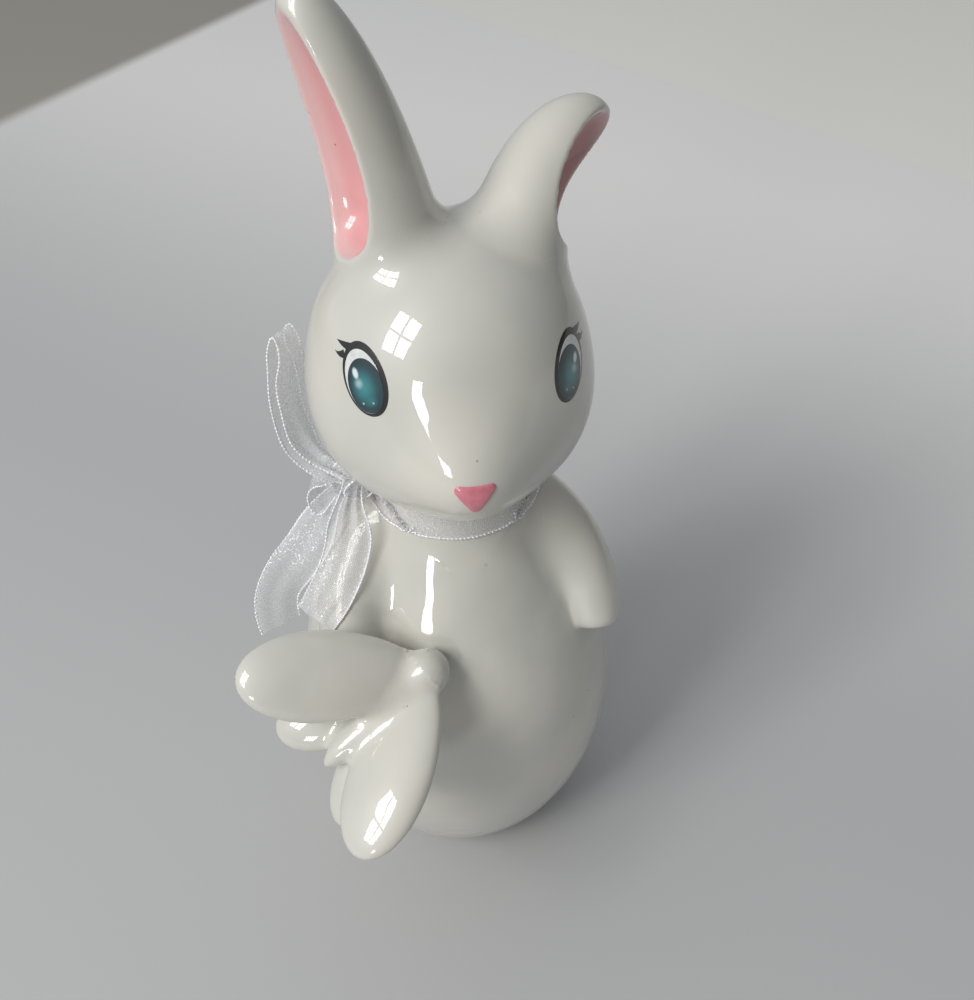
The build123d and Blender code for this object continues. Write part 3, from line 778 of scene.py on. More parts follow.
def face_frame(turn, rise, lean):
    """A place on the head, and the side, up and outward directions there."""
    ahead = facing(turn)
    start = UPRIGHT * (HEAD_HEIGHT + rise) + ahead * SKULL[1][0] * FACE_START_SHARE
    place = on_head(start[None], -ahead)
    outward = slopes(head_gap, place)[0][0]
    level = unit(np.cross(UPRIGHT, outward))
    upright = np.cross(outward, level)
    tilt = math.radians(lean)
    side = level * math.cos(tilt) + upright * math.sin(tilt)
    return place[0], side, np.cross(outward, side), outward


def enamel_patch(name, setting, outline, lift, crown, rings):
    """A thin closed layer of colour on the head under a flat outline, crowned towards its
    middle. Its UV map holds the flat places, as shares of the eye's length."""
    place, side, upward, outward = setting
    outline = np.asarray(outline, float)
    middle = outline.mean(0)
    shares = np.sin(np.pi / 2 * np.arange(1, rings + 1) / rings)
    flat = [middle[None]] + [middle + (outline - middle) * share for share in shares]
    levels = [np.full(1, lift + crown)]
    levels += [np.full(len(outline), lift + crown * math.sqrt(1 - share**4)) for share in shares]
    flat.append(outline)
    levels.append(np.full(len(outline), -FILM_SINK))
    flat, levels = np.concatenate(flat), np.concatenate(levels)
    starts = place + flat[:, :1] * side + flat[:, 1:] * upward + outward * FACE_REACH
    spots = on_head(starts, -outward)
    spots = spots + slopes(head_gap, spots)[0] * levels[:, None]
    around = len(outline)
    turns = np.arange(around)
    after = (turns + 1) % around
    faces = [(0, 1 + a, 1 + b) for a, b in zip(turns, after)]
    for ring in range(rings):
        inner, outer = 1 + ring * around, 1 + (ring + 1) * around
        faces += [(inner + a, outer + a, outer + b, inner + b) for a, b in zip(turns, after)]
    wall_start = len(faces) - around
    faces.append(tuple(1 + rings * around + turns[::-1]))
    piece = make_mesh(name, spots, faces)
    piece.data.polygons.foreach_set("use_smooth", np.arange(len(faces)) < wall_start)
    layer = piece.data.uv_layers.new(name="face_places")
    corner_places = np.zeros(len(piece.data.loops), np.int32)
    piece.data.loops.foreach_get("vertex_index", corner_places)
    layer.data.foreach_set("uv", (flat[corner_places] / EYE_SIZE[1] + 0.5).ravel())
    return piece


def oval(size, centre=(0.0, 0.0)):
    turns = np.linspace(0, 2 * np.pi, OVAL_COUNT, endpoint=False)
    return np.stack([np.cos(turns), np.sin(turns)], 1) * np.array(size) / 2 + centre


def lash_outline(out, shares):
    """A tapered, upswept lash that grows out of the dark line, on points in shares of the eye."""
    root, bend, tip = np.array(shares) * EYE_SIZE / 2 * (out, 1)
    runs = np.linspace(0, 1, LASH_COUNT)[:, None]
    spine = root * (1 - runs) ** 2 + bend * 2 * runs * (1 - runs) + tip * runs**2
    ray = unit(bend - root)
    half = np.array([-ray[1], ray[0]]) * out * LASH_ROOT / 2 * (1 - runs**LASH_TAPER_POWER)
    return np.concatenate([spine - half, (spine + half)[-2::-1]])[:: int(out)]


def kept_inside(outline, size, centre):
    """An outline drawn in to an oval wherever it runs past it."""
    offset = outline - np.asarray(centre)
    reach = np.linalg.norm(offset / (np.array(size) / 2), axis=1)
    return centre + offset / np.maximum(reach, 1)[:, None]


def nose_outline():
    """A triangle with its corners rounded, point down."""
    half, high = NOSE_SIZE[0] / 2, NOSE_SIZE[1] / 2
    corners = np.array([(-half, high), (0, -high), (half, high)])
    points = []
    for index, corner in enumerate(corners):
        before = unit(corners[index - 1] - corner)
        after = unit(corners[(index + 1) % 3] - corner)
        half_angle = math.acos(before @ after) / 2
        centre = corner + unit(before + after) * NOSE_CORNER / math.sin(half_angle)
        run = NOSE_CORNER / math.tan(half_angle)
        start, end = corner + before * run - centre, corner + after * run - centre
        first, last = math.atan2(start[1], start[0]), math.atan2(end[1], end[0])
        swing = (last - first + np.pi) % (2 * np.pi) - np.pi
        for step in np.linspace(0, 1, NOSE_CORNER_COUNT):
            angle = first + swing * step
            points.append(centre + NOSE_CORNER * np.array([math.cos(angle), math.sin(angle)]))
    filled = []
    for first, second in zip(points, points[1:] + points[:1]):
        count = max(1, round(np.linalg.norm(second - first) / NOSE_STEP))
        filled += [first + (second - first) * step / count for step in range(count)]
    return np.array(filled)


def join_pieces(pieces):
    """One object out of several, under the first one's name."""
    with bpy.context.temp_override(
        active_object=pieces[0], object=pieces[0], selected_objects=pieces,
        selected_editable_objects=pieces,
    ):
        bpy.ops.object.join()
    return pieces[0]


def build_eye(side):
    turn, rise = EYE_PLACES[side]
    out = -1 if turn < 0 else 1
    setting = face_frame(turn, rise, -out * EYE_LEAN)
    paint = eye_settings()
    layer = paint.film / MM
    line = enamel_patch(f"eye_line_{side}_paint", setting, oval(EYE_SIZE), layer, 0, EYE_RINGS)
    lift = layer * LASH_LIFT_SHARE
    lashes = [
        enamel_patch(f"lash_{side}", setting, lash_outline(out, shares), lift, 0, LASH_RINGS)
        for shares in LASH_SHARES
    ]
    dress(join_pieces([line, *lashes]), f"eye_line_{side}",
          finish("eye_line", enamel, paint.line_color))
    size, (across, drop) = EYE_WHITE
    white_oval = size, (out * across, drop)
    white = enamel_patch(
        f"eye_white_{side}_paint", setting, oval(*white_oval), layer * 2, 0, EYE_RINGS
    )
    dress(white, f"eye_white_{side}", finish("eye_white", enamel, paint.white_color))
    size, (across, drop) = EYE_IRIS
    outline = kept_inside(oval(size, (out * across, drop)), *white_oval)
    iris = enamel_patch(f"eye_iris_{side}_paint", setting, outline, layer * 3, 0, IRIS_RINGS)
    dress(iris, f"eye_iris_{side}",
          finish(f"eye_iris_{side}", iris_paint, out, out * across, drop))


def build_eyes():
    for side in EYE_PLACES:
        build_eye(side)


def build_nose():
    ahead = facing(0)
    height = HEAD_HEIGHT + SNOUT[0][2] + NOSE_LIFT
    start = UPRIGHT * height + ahead * SKULL[1][1] * FACE_START_SHARE
    setting = on_head(start[None], -ahead)[0], np.array([1.0, 0.0, 0.0]), UPRIGHT, ahead
    crown = NOSE_THICKNESS - NOSE_EDGE
    piece = enamel_patch("nose_enamel", setting, nose_outline(), NOSE_EDGE, crown, NOSE_RINGS)
    dress(piece, "nose", finish("nose_pink", enamel, glaze_settings().nose_color))


# Ribbon

KNOT = facing(KNOT_TURN) * KNOT_RADIUS + UPRIGHT * KNOT_HEIGHT


def run_along(points):
    """How far along a path each of its points is."""
    return np.concatenate([[0], np.cumsum(np.linalg.norm(np.diff(points, axis=0), axis=1))])


def spline(points, count):
    """Places at even steps along a natural cubic through a few points."""
    points = np.asarray(points, float)
    knots = run_along(points)
    steps = np.diff(knots)
    last = len(points) - 1
    matrix, pull = np.eye(last + 1), np.zeros_like(points)
    for index in range(1, last):
        before, after = steps[index - 1], steps[index]
        matrix[index, index - 1:index + 2] = before, 2 * (before + after), after
        rise = (points[index + 1] - points[index]) / after
        pull[index] = 6 * (rise - (points[index] - points[index - 1]) / before)
    bends = np.linalg.solve(matrix, pull)
    along = np.linspace(0, knots[-1], count)
    span = np.clip(np.searchsorted(knots, along, side="right") - 1, 0, last - 1)
    step = steps[span][:, None]
    done = (along - knots[span])[:, None]
    left = step - done
    curve = (bends[span] * left**3 + bends[span + 1] * done**3) / (6 * step)
    curve += (points[span] / step - bends[span] * step / 6) * left
    return curve + (points[span + 1] / step - bends[span + 1] * step / 6) * done


def keep_clear(places, gap):
    """Pushes places out until they stand off from the glaze."""
    shape = places.shape
    places = places.reshape(-1, 3).copy()
    for _ in range(CLEAR_ROUNDS):
        direction, steepness = slopes(figure_gap, places)
        short = np.maximum(gap - figure_gap(places) / steepness, 0)
        places += direction * np.minimum(short, gap * CLEAR_STEP_GAPS)[:, None]
    return places.reshape(shape)


def quads(grid):
    """The four corners of each cell of a grid."""
    return np.stack([grid[:-1, :-1], grid[:-1, 1:], grid[1:, 1:], grid[1:, :-1]], 2)


def ribbon_sheet(node, centres, across, gather, fold, closed=False):
    """A stretch of ribbon. gather(along) is its spread as a share of its width and
    fold(along, over) its rise in millimetres, with over from -1 to 1 across the width."""
    threads = ribbon_settings()
    count = len(centres)
    ahead = np.roll(centres, -1, 0) - np.roll(centres, 1, 0)
    if not closed:
        ahead[0], ahead[-1] = centres[1] - centres[0], centres[-1] - centres[-2]
    ahead = unit(ahead)
    across = unit(across - ahead * (across * ahead).sum(1)[:, None])
    normal = np.cross(across, ahead)
    run = run_along(centres)
    along = np.linspace(0, 1, count, endpoint=not closed)[:, None]
    over = np.linspace(-1, 1, ACROSS_COUNT)[None]
    aside = gather(along) * RIBBON_WIDTH / 2 * over
    rise = fold(along, over)
    sheet = centres[:, None] + across[:, None] * aside[..., None]
    places = keep_clear(sheet + normal[:, None] * rise[..., None], RIBBON_GAP)
    grid = np.arange(count * ACROSS_COUNT).reshape(count, ACROSS_COUNT)
    if closed:
        grid = np.concatenate([grid, grid[:1]])
        run = np.concatenate([run, [run[-1] * count / (count - 1)]])
    piece = make_mesh(f"{node}_organza", places.reshape(-1, 3), quads(grid).reshape(-1, 4))
    wide = np.broadcast_to(over * RIBBON_WIDTH / 2, (len(grid), ACROSS_COUNT))
    flat = np.stack([wide, np.broadcast_to(run[:, None], wide.shape)], -1)
    layer = piece.data.uv_layers.new(name="cloth_places")
    layer.data.foreach_set("uv", (quads(flat) / RIBBON_WIDTH).ravel())
    weave = piece.modifiers.new("Thickness", "SOLIDIFY")
    weave.thickness = threads.thickness
    weave.offset = 0
    dress(piece, node, finish("organza", organza))
    edge = picot_edge(node, [places[:, 0], places[:, -1]], closed)


def picot_tree():
    """Nodes that run a wire and a row of thread picots along each edge of the ribbon."""
    if "Picot Edge" in bpy.data.node_groups:
        return bpy.data.node_groups["Picot Edge"]
    tree = bpy.data.node_groups.new("Picot Edge", "GeometryNodeTree")
    for name, kind, way in (
        ("Edge Lines", "Geometry", "INPUT"), ("Pitch", "Float", "INPUT"),
        ("Picot Radius", "Float", "INPUT"), ("Wire Radius", "Float", "INPUT"),
        ("Thread", "Material", "INPUT"), ("Edge", "Geometry", "OUTPUT"),
    ):
        tree.interface.new_socket(name, in_out=way, socket_type=f"NodeSocket{kind}")
    start = tree.nodes.new("NodeGroupInput").outputs
    lines = put(tree, "GeometryNodeMeshToCurve", {"Mesh": start["Edge Lines"]}, "Curve")
    spaced = put(tree, "GeometryNodeResampleCurve", {"Curve": lines, "Length": start["Pitch"]},
                 "Curve", mode="LENGTH")
    picot = put(tree, "GeometryNodeMeshIcoSphere",
                {"Subdivisions": 1, "Radius": start["Picot Radius"]}, "Mesh")
    size_range = dict(zip((2, 3), PICOT_SIZE_RANGE))
    size = put(tree, "FunctionNodeRandomValue", {"Seed": PICOT_SEED, **size_range}, 1,
               data_type="FLOAT")
    row = put(tree, "GeometryNodeInstanceOnPoints",
              {"Points": spaced, "Instance": picot, "Scale": size}, "Instances")
    profile = put(tree, "GeometryNodeCurvePrimitiveCircle",
                  {"Resolution": WIRE_SIDES, "Radius": start["Wire Radius"]}, "Curve", mode="RADIUS")
    wire = put(tree, "GeometryNodeCurveToMesh",
               {"Curve": lines, "Profile Curve": profile, "Fill Caps": True}, "Mesh")
    both = tree.nodes.new("GeometryNodeJoinGeometry")
    for part in (row, wire):
        tree.links.new(part, both.inputs["Geometry"])
    edge = both.outputs["Geometry"]
    for kind, more in (
        ("RealizeInstances", {}), ("SetMaterial", {"Material": start["Thread"]}),
        ("SetShadeSmooth", {}),
    ):
        edge = put(tree, f"GeometryNode{kind}", {"Geometry": edge, **more}, "Geometry")
    connect(tree, tree.nodes.new("NodeGroupOutput"), {"Edge": edge})
    return tree


def picot_edge(node, lines, closed):
    """The looped selvedge on both edges of a stretch of ribbon."""
    threads = ribbon_settings()
    places, edges = np.concatenate(lines), []
    for number, line in enumerate(lines):
        spots = number * len(line) + np.arange(len(line) + closed) % len(line)
        edges += np.stack([spots[:-1], spots[1:]], 1).tolist()
    mesh = bpy.data.meshes.new(f"{node}_edge_lines")
    mesh.from_pydata((places * MM).tolist(), edges, [])
    carrier = add_object(f"{node}_edge_lines", mesh)
    tree = picot_tree()
    modifier = carrier.modifiers.new("Picots", "NODES")
    modifier.node_group = tree
    inputs = {
        "Pitch": threads.picot_pitch, "Picot Radius": threads.picot_radius,
        "Wire Radius": threads.wire_radius, "Thread": finish("picot_thread", picot_thread),
    }
    for item in tree.interface.items_tree:
        if item.name in inputs:
            modifier[item.identifier] = inputs[item.name]
    bpy.context.view_layer.update()
    seen = carrier.evaluated_get(bpy.context.evaluated_depsgraph_get())
    made = bpy.data.meshes.new_from_object(seen)
    bpy.data.objects.remove(carrier)
    piece = add_object(f"{node}_picot", made)
    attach(piece, "root")
    return piece


def from_knot(share):
    """How far a stretch has opened out since it left the knot."""
    return GATHER_SHARE + (1 - GATHER_SHARE) * ease(0, OPEN_OUT_SHARE, share)


def creases(along, over, count, phase):
    """Lengthwise folds that are deep at the knot and ease out along the ribbon."""
    eased = ease(0, OPEN_OUT_SHARE * CREASE_END_SHARE, along)
    fade = CREASE_LEFT + (1 - CREASE_LEFT) * (1 - eased)
    return CREASE_DEPTH * fade * np.sin(np.pi * count * over + phase + CREASE_SLANT * along)


def build_band():
    turns = np.linspace(0, 2 * np.pi, BAND_COUNT, endpoint=False)
    radius = NECK_RADIUS + RIBBON_GAP
    ring = np.stack([radius * np.cos(turns), radius * np.sin(turns),
                     np.full(BAND_COUNT, BAND_BOTTOM + RIBBON_WIDTH / 2)], 1)

    def fold(along, over):
        slow, fast = BAND_WAVE_COUNTS
        waves = np.sin(2 * np.pi * (slow * along + BAND_WAVE_SLANT * over))
        waves = waves + np.sin(2 * np.pi * fast * along) / 2
        return BAND_WAVE * waves * (BAND_CALM_SHARE + (1 - BAND_CALM_SHARE) * over**2)

    ribbon_sheet("neck_band", ring, UPRIGHT, np.ones_like, fold, True)


def build_tails():
    for node, (places, start, end, count, phase) in TAILS.items():
        centres = spline(KNOT + np.array(places), TAIL_COUNT)
        share = np.linspace(0, 1, TAIL_COUNT)[:, None]
        across = np.array(start) * (1 - share) + np.array(end) * share

        def fold(along, over, count=count, phase=phase):
            return creases(along, over, count, phase) + TAIL_CUP * over**2 * along

        ribbon_sheet(node, centres, across, from_knot, fold)


def outwards(along):
    """How far out a loop has come, from 0 at the knot to 1 where it folds back."""
    return 1 - np.abs(2 * along - 1)


def build_loops():
    for node, (heading, points, count, pinch) in LOOPS.items():
        outward = unit(heading)
        path = [KNOT + outward * out + UPRIGHT * up for out, up in points]
        centres = spline(path, LOOP_COUNT)
        across = np.cross(outward, UPRIGHT)

        def gather(along, pinch=pinch):
            pinched = pinch * ease(PINCH_START_SHARE, 1, outwards(along))
            return from_knot(outwards(along)) * (1 - pinched)

        def fold(along, over, count=count):
            return creases(outwards(along), over, count, along * 2)

        ribbon_sheet(node, centres, across, gather, fold)


def build_knot():
    """The turn of ribbon that is pulled tight round the crossing."""
    turns = np.linspace(0, 2 * np.pi, KNOT_COUNT, endpoint=False)
    outward = facing(KNOT_TURN)
    level = np.cross(UPRIGHT, outward)
    deep, high = [size * KNOT_FILL_SHARE for size in KNOT_HALF_SIZES]
    ring = KNOT + np.outer(np.cos(turns) * deep, outward) + np.outer(np.sin(turns) * high, UPRIGHT)

    def gather(along):
        return KNOT_GATHER_SHARE + KNOT_GATHER_WAVE * np.sin(4 * np.pi * along)

    def fold(along, over):
        sway = KNOT_CREASE_SWAY * np.sin(2 * np.pi * along)
        crease = KNOT_CREASE * np.sin(np.pi * KNOT_CREASE_COUNT * over + sway)
        return crease - KNOT_CROWN * over**2

    ribbon_sheet("knot", ring, level, gather, fold, True)


# Finishes

def connect(tree, node, inputs):
    """Links or fills a node's inputs, by name or by number."""
    for name, value in inputs.items():
        if isinstance(value, bpy.types.NodeSocket):
            tree.links.new(value, node.inputs[name])
        else:
            node.inputs[name].default_value = value


def put(tree, kind, inputs, output, **settings):
    """Adds a node, sets it up, connects its inputs and gives its output."""
    node = tree.nodes.new(kind)
    for name, value in settings.items():
        setattr(node, name, value)
    connect(tree, node, inputs)
    return node.outputs[output]


def finish(name, pattern, *values):
    """The material of a name, made the first time that it is asked for. Its pattern gives what
    goes into the shader's inputs."""
    material = bpy.data.materials.get(f"{name}_finish")
    if material is None:
        material = bpy.data.materials.new(f"{name}_finish")
        material.use_nodes = True
        tree = material.node_tree
        connect(tree, tree.nodes["Principled BSDF"], pattern(tree, *values))
    return material


def own_places(tree):
    """The places on an object, in its own frame."""
    return put(tree, "ShaderNodeTexCoord", {}, "Object")


def colour(value):
    return (*value, 1.0)


def noise(tree, places, scale, detail=2.0, roughness=0.5):
    inputs = {"Vector": places, "Scale": scale, "Detail": detail, "Roughness": roughness}
    return put(tree, "ShaderNodeTexNoise", inputs, "Fac")


def step_map(tree, value, low, high, start=0.0, end=1.0):
    """Turns a range of a value into another, with soft ends."""
    inputs = {"Value": value, "From Min": low, "From Max": high, "To Min": start, "To Max": end}
    return put(tree, "ShaderNodeMapRange", inputs, "Result", interpolation_type="SMOOTHSTEP")


def blend_colours(tree, share, first, second):
    """A mix of two colours, each given as a colour or as a socket."""
    return put(tree, "ShaderNodeMix", {0: share, 6: first, 7: second}, 2, data_type="RGBA")


def calculate(tree, operation, first, second=0.0):
    return put(tree, "ShaderNodeMath", {0: first, 1: second}, 0, operation=operation)


def reach_along(tree, places, heading):
    """How far each place is along a heading."""
    inputs = {0: places, 1: heading}
    return put(tree, "ShaderNodeVectorMath", inputs, "Value", operation="DOT_PRODUCT")


def bump(tree, height, strength, distance):
    inputs = {"Height": height, "Strength": strength, "Distance": distance}
    return put(tree, "ShaderNodeBump", inputs, "Normal")


def gloss():
    """The clear glaze over a colour."""
    return {
        "Roughness": CLAY_ROUGHNESS, "Coat Weight": 1.0, "Coat IOR": GLAZE_IOR,
        "Coat Roughness": glaze_settings().coat_roughness,
    }


def undulation(tree, places, gain=1.0):
    """The slow waves that a fired glaze has, stronger where gain is."""
    waves = noise(tree, places, GLAZE_WAVE_SCALE, GLAZE_WAVE_DETAIL)
    waves = calculate(tree, "MULTIPLY", waves, gain)
    normal = bump(tree, waves, 1.0, GLAZE_WAVE)
    return {"Normal": normal, "Coat Normal": normal}


def glaze(tree, sprayed=False):
    """White clay under a clear glaze: pooled tints, a few specks, a bare foot, and the pink
    that is sprayed into the ears."""
    settings, places = glaze_settings(), own_places(tree)
    pools = step_map(tree, noise(tree, places, GLAZE_POOL_SCALE), *GLAZE_POOL_RANGE)
    tone = blend_colours(tree, pools, colour(settings.glaze_color), colour(settings.pooled_color))
    if sprayed:
        depth, beyond = [
            put(tree, "ShaderNodeAttribute", {}, "Fac", attribute_name=name)
            for name in ("rim_depth", "hollow_gap")
        ]
        grain = noise(tree, places, SPRAY_GRAIN_SCALE, 3.0)
        ragged = calculate(tree, "ADD", depth, calculate(
            tree, "MULTIPLY", calculate(tree, "SUBTRACT", grain, 0.5), SPRAY_RAGGED))
        cover = calculate(tree, "MULTIPLY", step_map(tree, ragged, *SPRAY_RIM),
                          step_map(tree, beyond, *SPRAY_FLOOR, 1.0, 0.0))
        pink = blend_colours(tree, step_map(tree, ragged, *SPRAY_DEEP),
                             colour(settings.pale_pink_color), colour(settings.pink_color))
        tone = blend_colours(tree, cover, tone, pink)
    specks = put(tree, "ShaderNodeTexVoronoi", {"Vector": places, "Scale": SPECK_SCALE}, "Distance")
    speck = step_map(tree, specks, SPECK_SIZE * SPECK_CORE_SHARE, SPECK_SIZE, 1.0, 0.0)
    tone = blend_colours(tree, calculate(tree, "MULTIPLY", speck, SPECK_STRENGTH), tone,
                         colour(settings.speck_color))
    height = put(tree, "ShaderNodeSeparateXYZ", {"Vector": places}, "Z")
    bare = step_map(tree, height, FOOT_LINE / 2, FOOT_LINE, 1.0, 0.0)
    hand_formed = step_map(tree, height, *RIPPLE_TOP, RIPPLE_GAIN, 1.0)
    return {
        **gloss(), **undulation(tree, places, hand_formed),
        "Coat Weight": calculate(tree, "SUBTRACT", 1.0, bare),
        "Base Color": blend_colours(tree, bare, tone, colour(settings.clay_color)),
    }


def enamel(tree, tint):
    """One glossy fired colour, with the faint unevenness of a decal."""
    places = own_places(tree)
    patchy = noise(tree, places, PAINT_SCALE, 3.0)
    darker = [channel * THIN_PAINT_SHARE for channel in tint]
    thin = step_map(tree, patchy, *THIN_PAINT_RANGE)
    tone = blend_colours(tree, thin, colour(tint), colour(darker))
    return {**gloss(), **undulation(tree, places), "Base Color": tone}


def spot(tree, places, centre, size, softness):
    """A soft round or oval mark on a flat map, 1 at its middle."""
    wide, high = size
    placing = {"Vector": places, "Location": (-centre[0] / wide, -centre[1] / high, 0.0),
               "Scale": (1 / wide, 1 / high, 1.0)}
    placed = {0: put(tree, "ShaderNodeMapping", placing, "Vector")}
    away = put(tree, "ShaderNodeVectorMath", placed, "Value", operation="LENGTH")
    return step_map(tree, away, 1 - softness, 1 + softness, 1.0, 0.0)


def iris_paint(tree, out, across, drop):
    """A dark teal iris with a lighter glow in it and small painted lights."""
    paint = eye_settings()
    flat = put(tree, "ShaderNodeUVMap", {}, "UV", uv_map="face_places")
    middle = (-0.5 - across / EYE_SIZE[1], -0.5 - drop / EYE_SIZE[1], 0.0)
    centre = put(tree, "ShaderNodeMapping", {"Vector": flat, "Location": middle}, "Vector")
    tone = colour(paint.iris_dark)
    marks = [(paint.iris_color, *IRIS_BODY)]
    marks += [(paint.glow_color, *mark) for mark in IRIS_GLOWS]
    marks += [(paint.light_color, *mark) for mark in IRIS_LIGHTS]
    for tint, (beside, above), size, softness, strength in marks:
        mark = spot(tree, centre, (beside * out, above), size, softness)
        tone = blend_colours(tree, calculate(tree, "MULTIPLY", mark, strength), tone, colour(tint))
    return {**gloss(), "Base Color": tone}


def organza(tree):
    """Sheer organza: fine threads both ways, with a glint where they catch the light."""
    threads = ribbon_settings()
    flat = put(tree, "ShaderNodeUVMap", {}, "UV", uv_map="cloth_places")
    pitch = RIBBON_WIDTH * MM / threads.thread_pitch / WAVES_PER_SCALE
    weft, warp = [
        put(tree, "ShaderNodeTexWave",
            {"Vector": flat, "Scale": pitch, "Distortion": unevenness, "Detail": 1.0},
            "Fac", bands_direction=way)
        for way, unevenness in THREAD_UNEVENNESS.items()
    ]
    cross = calculate(tree, "MAXIMUM", weft, warp)
    patchy = noise(tree, flat, ORGANZA_PATCH_SCALE, 3.0)
    sheer = step_map(tree, cross, *THREAD_COVER_RANGE, threads.sheer_alpha, threads.thread_alpha)
    veil = calculate(tree, "MULTIPLY", sheer, step_map(tree, patchy, *ORGANZA_PATCH_RANGE))
    border = put(tree, "ShaderNodeSeparateXYZ", {"Vector": flat}, "X")
    edge = step_map(tree, calculate(tree, "ABSOLUTE", border), *ORGANZA_EDGE_RANGE)
    glints = noise(tree, flat, ORGANZA_GLINT_SCALE, 1.0, 0.8)
    glint = step_map(tree, glints, *GLINT_RANGE)
    brighter = calculate(tree, "MULTIPLY", calculate(tree, "MAXIMUM", edge, glint), GLINT_COVER)
    return {
        "Alpha": calculate(tree, "MINIMUM", 1.0, calculate(tree, "ADD", veil, brighter)),
        "Base Color": blend_colours(
            tree, glint, colour(threads.organza_color), colour(threads.glint_color)),
        "Roughness": step_map(tree, glints, *ORGANZA_ROUGHNESS_RANGE),
        "Metallic": calculate(tree, "MULTIPLY", glint, GLINT_METAL_SHARE),
        "Sheen Weight": ORGANZA_SHEEN,
        "Normal": bump(tree, cross, THREAD_RELIEF_STRENGTH, THREAD_RELIEF),
    }


def picot_thread(tree):
    """The bright twisted thread of the picot edge."""
    threads = ribbon_settings()
    glints = noise(tree, own_places(tree), THREAD_SCALE)
    glint = step_map(tree, glints, *PICOT_GLINT_RANGE)
    tone = blend_colours(tree, glint, colour(threads.organza_color), colour(threads.glint_color))
    shine = step_map(tree, glints, *PICOT_METAL_RANGE)
    return {"Base Color": tone, "Roughness": PICOT_ROUGHNESS, "Metallic": shine}


# Stage

def area_light(name, place, target, size, power, tint):
    light = bpy.data.lights.new(name, "AREA")
    light.shape = "RECTANGLE"
    light.size, light.size_y = size
    light.energy = power
    light.color = tint
    lamp = add_object(name, light)
    lamp.location = place
    lamp.rotation_mode = "QUATERNION"
    lamp.rotation_quaternion = (Vector(target) - Vector(place)).to_track_quat("-Z", "Y")


def build_floor():
    stage = stage_settings()
    mesh = bpy.data.meshes.new("floor")
    half = stage.floor_size / 2
    corners = [(-half, -half, 0), (half, -half, 0), (half, half, 0), (-half, half, 0)]
    mesh.from_pydata(corners, [], [(0, 1, 2, 3)])
    floor = add_object("floor", mesh)
    mesh.materials.append(finish("floor_board", board))


def board(tree):
    """A pale board, lighter at the back, with other tones past its two back edges."""
    stage, places = stage_settings(), own_places(tree)
    lighter = step_map(tree, reach_along(tree, places, FLOOR_BACK), *FLOOR_SPREAD)
    tone = blend_colours(tree, lighter, colour(stage.floor_color), colour(stage.far_color))
    for (heading, reach), wall in zip(BOARD_EDGES, (stage.left_wall_color, stage.right_wall_color)):
        past = step_map(tree, reach_along(tree, places, heading), reach, reach + BOARD_EDGE_BLUR)
        tone = blend_colours(tree, past, tone, colour(wall))
    return {"Base Color": tone, "Roughness": BOARD_ROUGHNESS}


def build_window():
    """A window of four panes, up on the left of the picture, and a gap in a curtain beside it."""
    stage = stage_settings()
    middle, target = Vector(stage.window_place), Vector(stage.window_target)
    away = (middle - target).normalized()
    across = away.cross(Vector((0, 0, 1))).normalized()
    up = across.cross(away)
    wide, high = stage.pane_size
    for column in (-1, 1):
        for row in (-1, 1):
            offset = across * column * (wide / 2 + stage.glazing_bar / 2)
            offset += up * row * (high / 2 + stage.glazing_bar / 2)
            area_light(f"pane_{column}_{row}", middle + offset, target + offset, (wide, high),
                       stage.window_power / 4, stage.window_color)
    area_light("curtain_gap", stage.curtain_place, target, stage.curtain_size,
               stage.curtain_power, stage.window_color)


def build_camera():
    stage = stage_settings()
    camera = bpy.data.cameras.new("camera")
    camera.lens = stage.lens
    camera.sensor_width = SENSOR_WIDTH
    camera.clip_start = NEAR_CLIP
    viewer = add_object("camera", camera)
    viewer.location = stage.camera_place
    viewer.rotation_euler = stage.camera_turn
    bpy.context.scene.camera = viewer


def build_sky():
    stage = stage_settings()
    world = bpy.data.worlds.new("studio")
    world.use_nodes = True
    tree = world.node_tree
    ahead = put(tree, "ShaderNodeTexCoord", {}, "Generated")
    bright = step_map(tree, reach_along(tree, ahead, tuple(stage.sky_side)), *SKY_SPREAD)
    tone = blend_colours(tree, bright, colour(stage.room_color), colour(stage.sky_color))
    connect(tree, tree.nodes["Background"], {"Color": tone, "Strength": stage.sky_strength})
    bpy.context.scene.world = world
    bpy.context.scene.view_settings.view_transform = "Standard"


# What a user may change

def setting(kind, **fixed):
    """A short way to declare one kind of setting."""
    return lambda name, value, about: kind(name=name, default=value, description=about, **fixed)


length = setting(bpy.props.FloatProperty, min=0, precision=5, subtype="DISTANCE")
share = setting(bpy.props.FloatProperty, min=0, max=1, subtype="FACTOR")
power = setting(bpy.props.FloatProperty, min=0, unit="POWER")
tint = setting(bpy.props.FloatVectorProperty, min=0, max=1, size=3, subtype="COLOR")
place = setting(bpy.props.FloatVectorProperty, size=3, subtype="XYZ", unit="LENGTH")
pair = setting(bpy.props.FloatVectorProperty, size=2, unit="LENGTH")


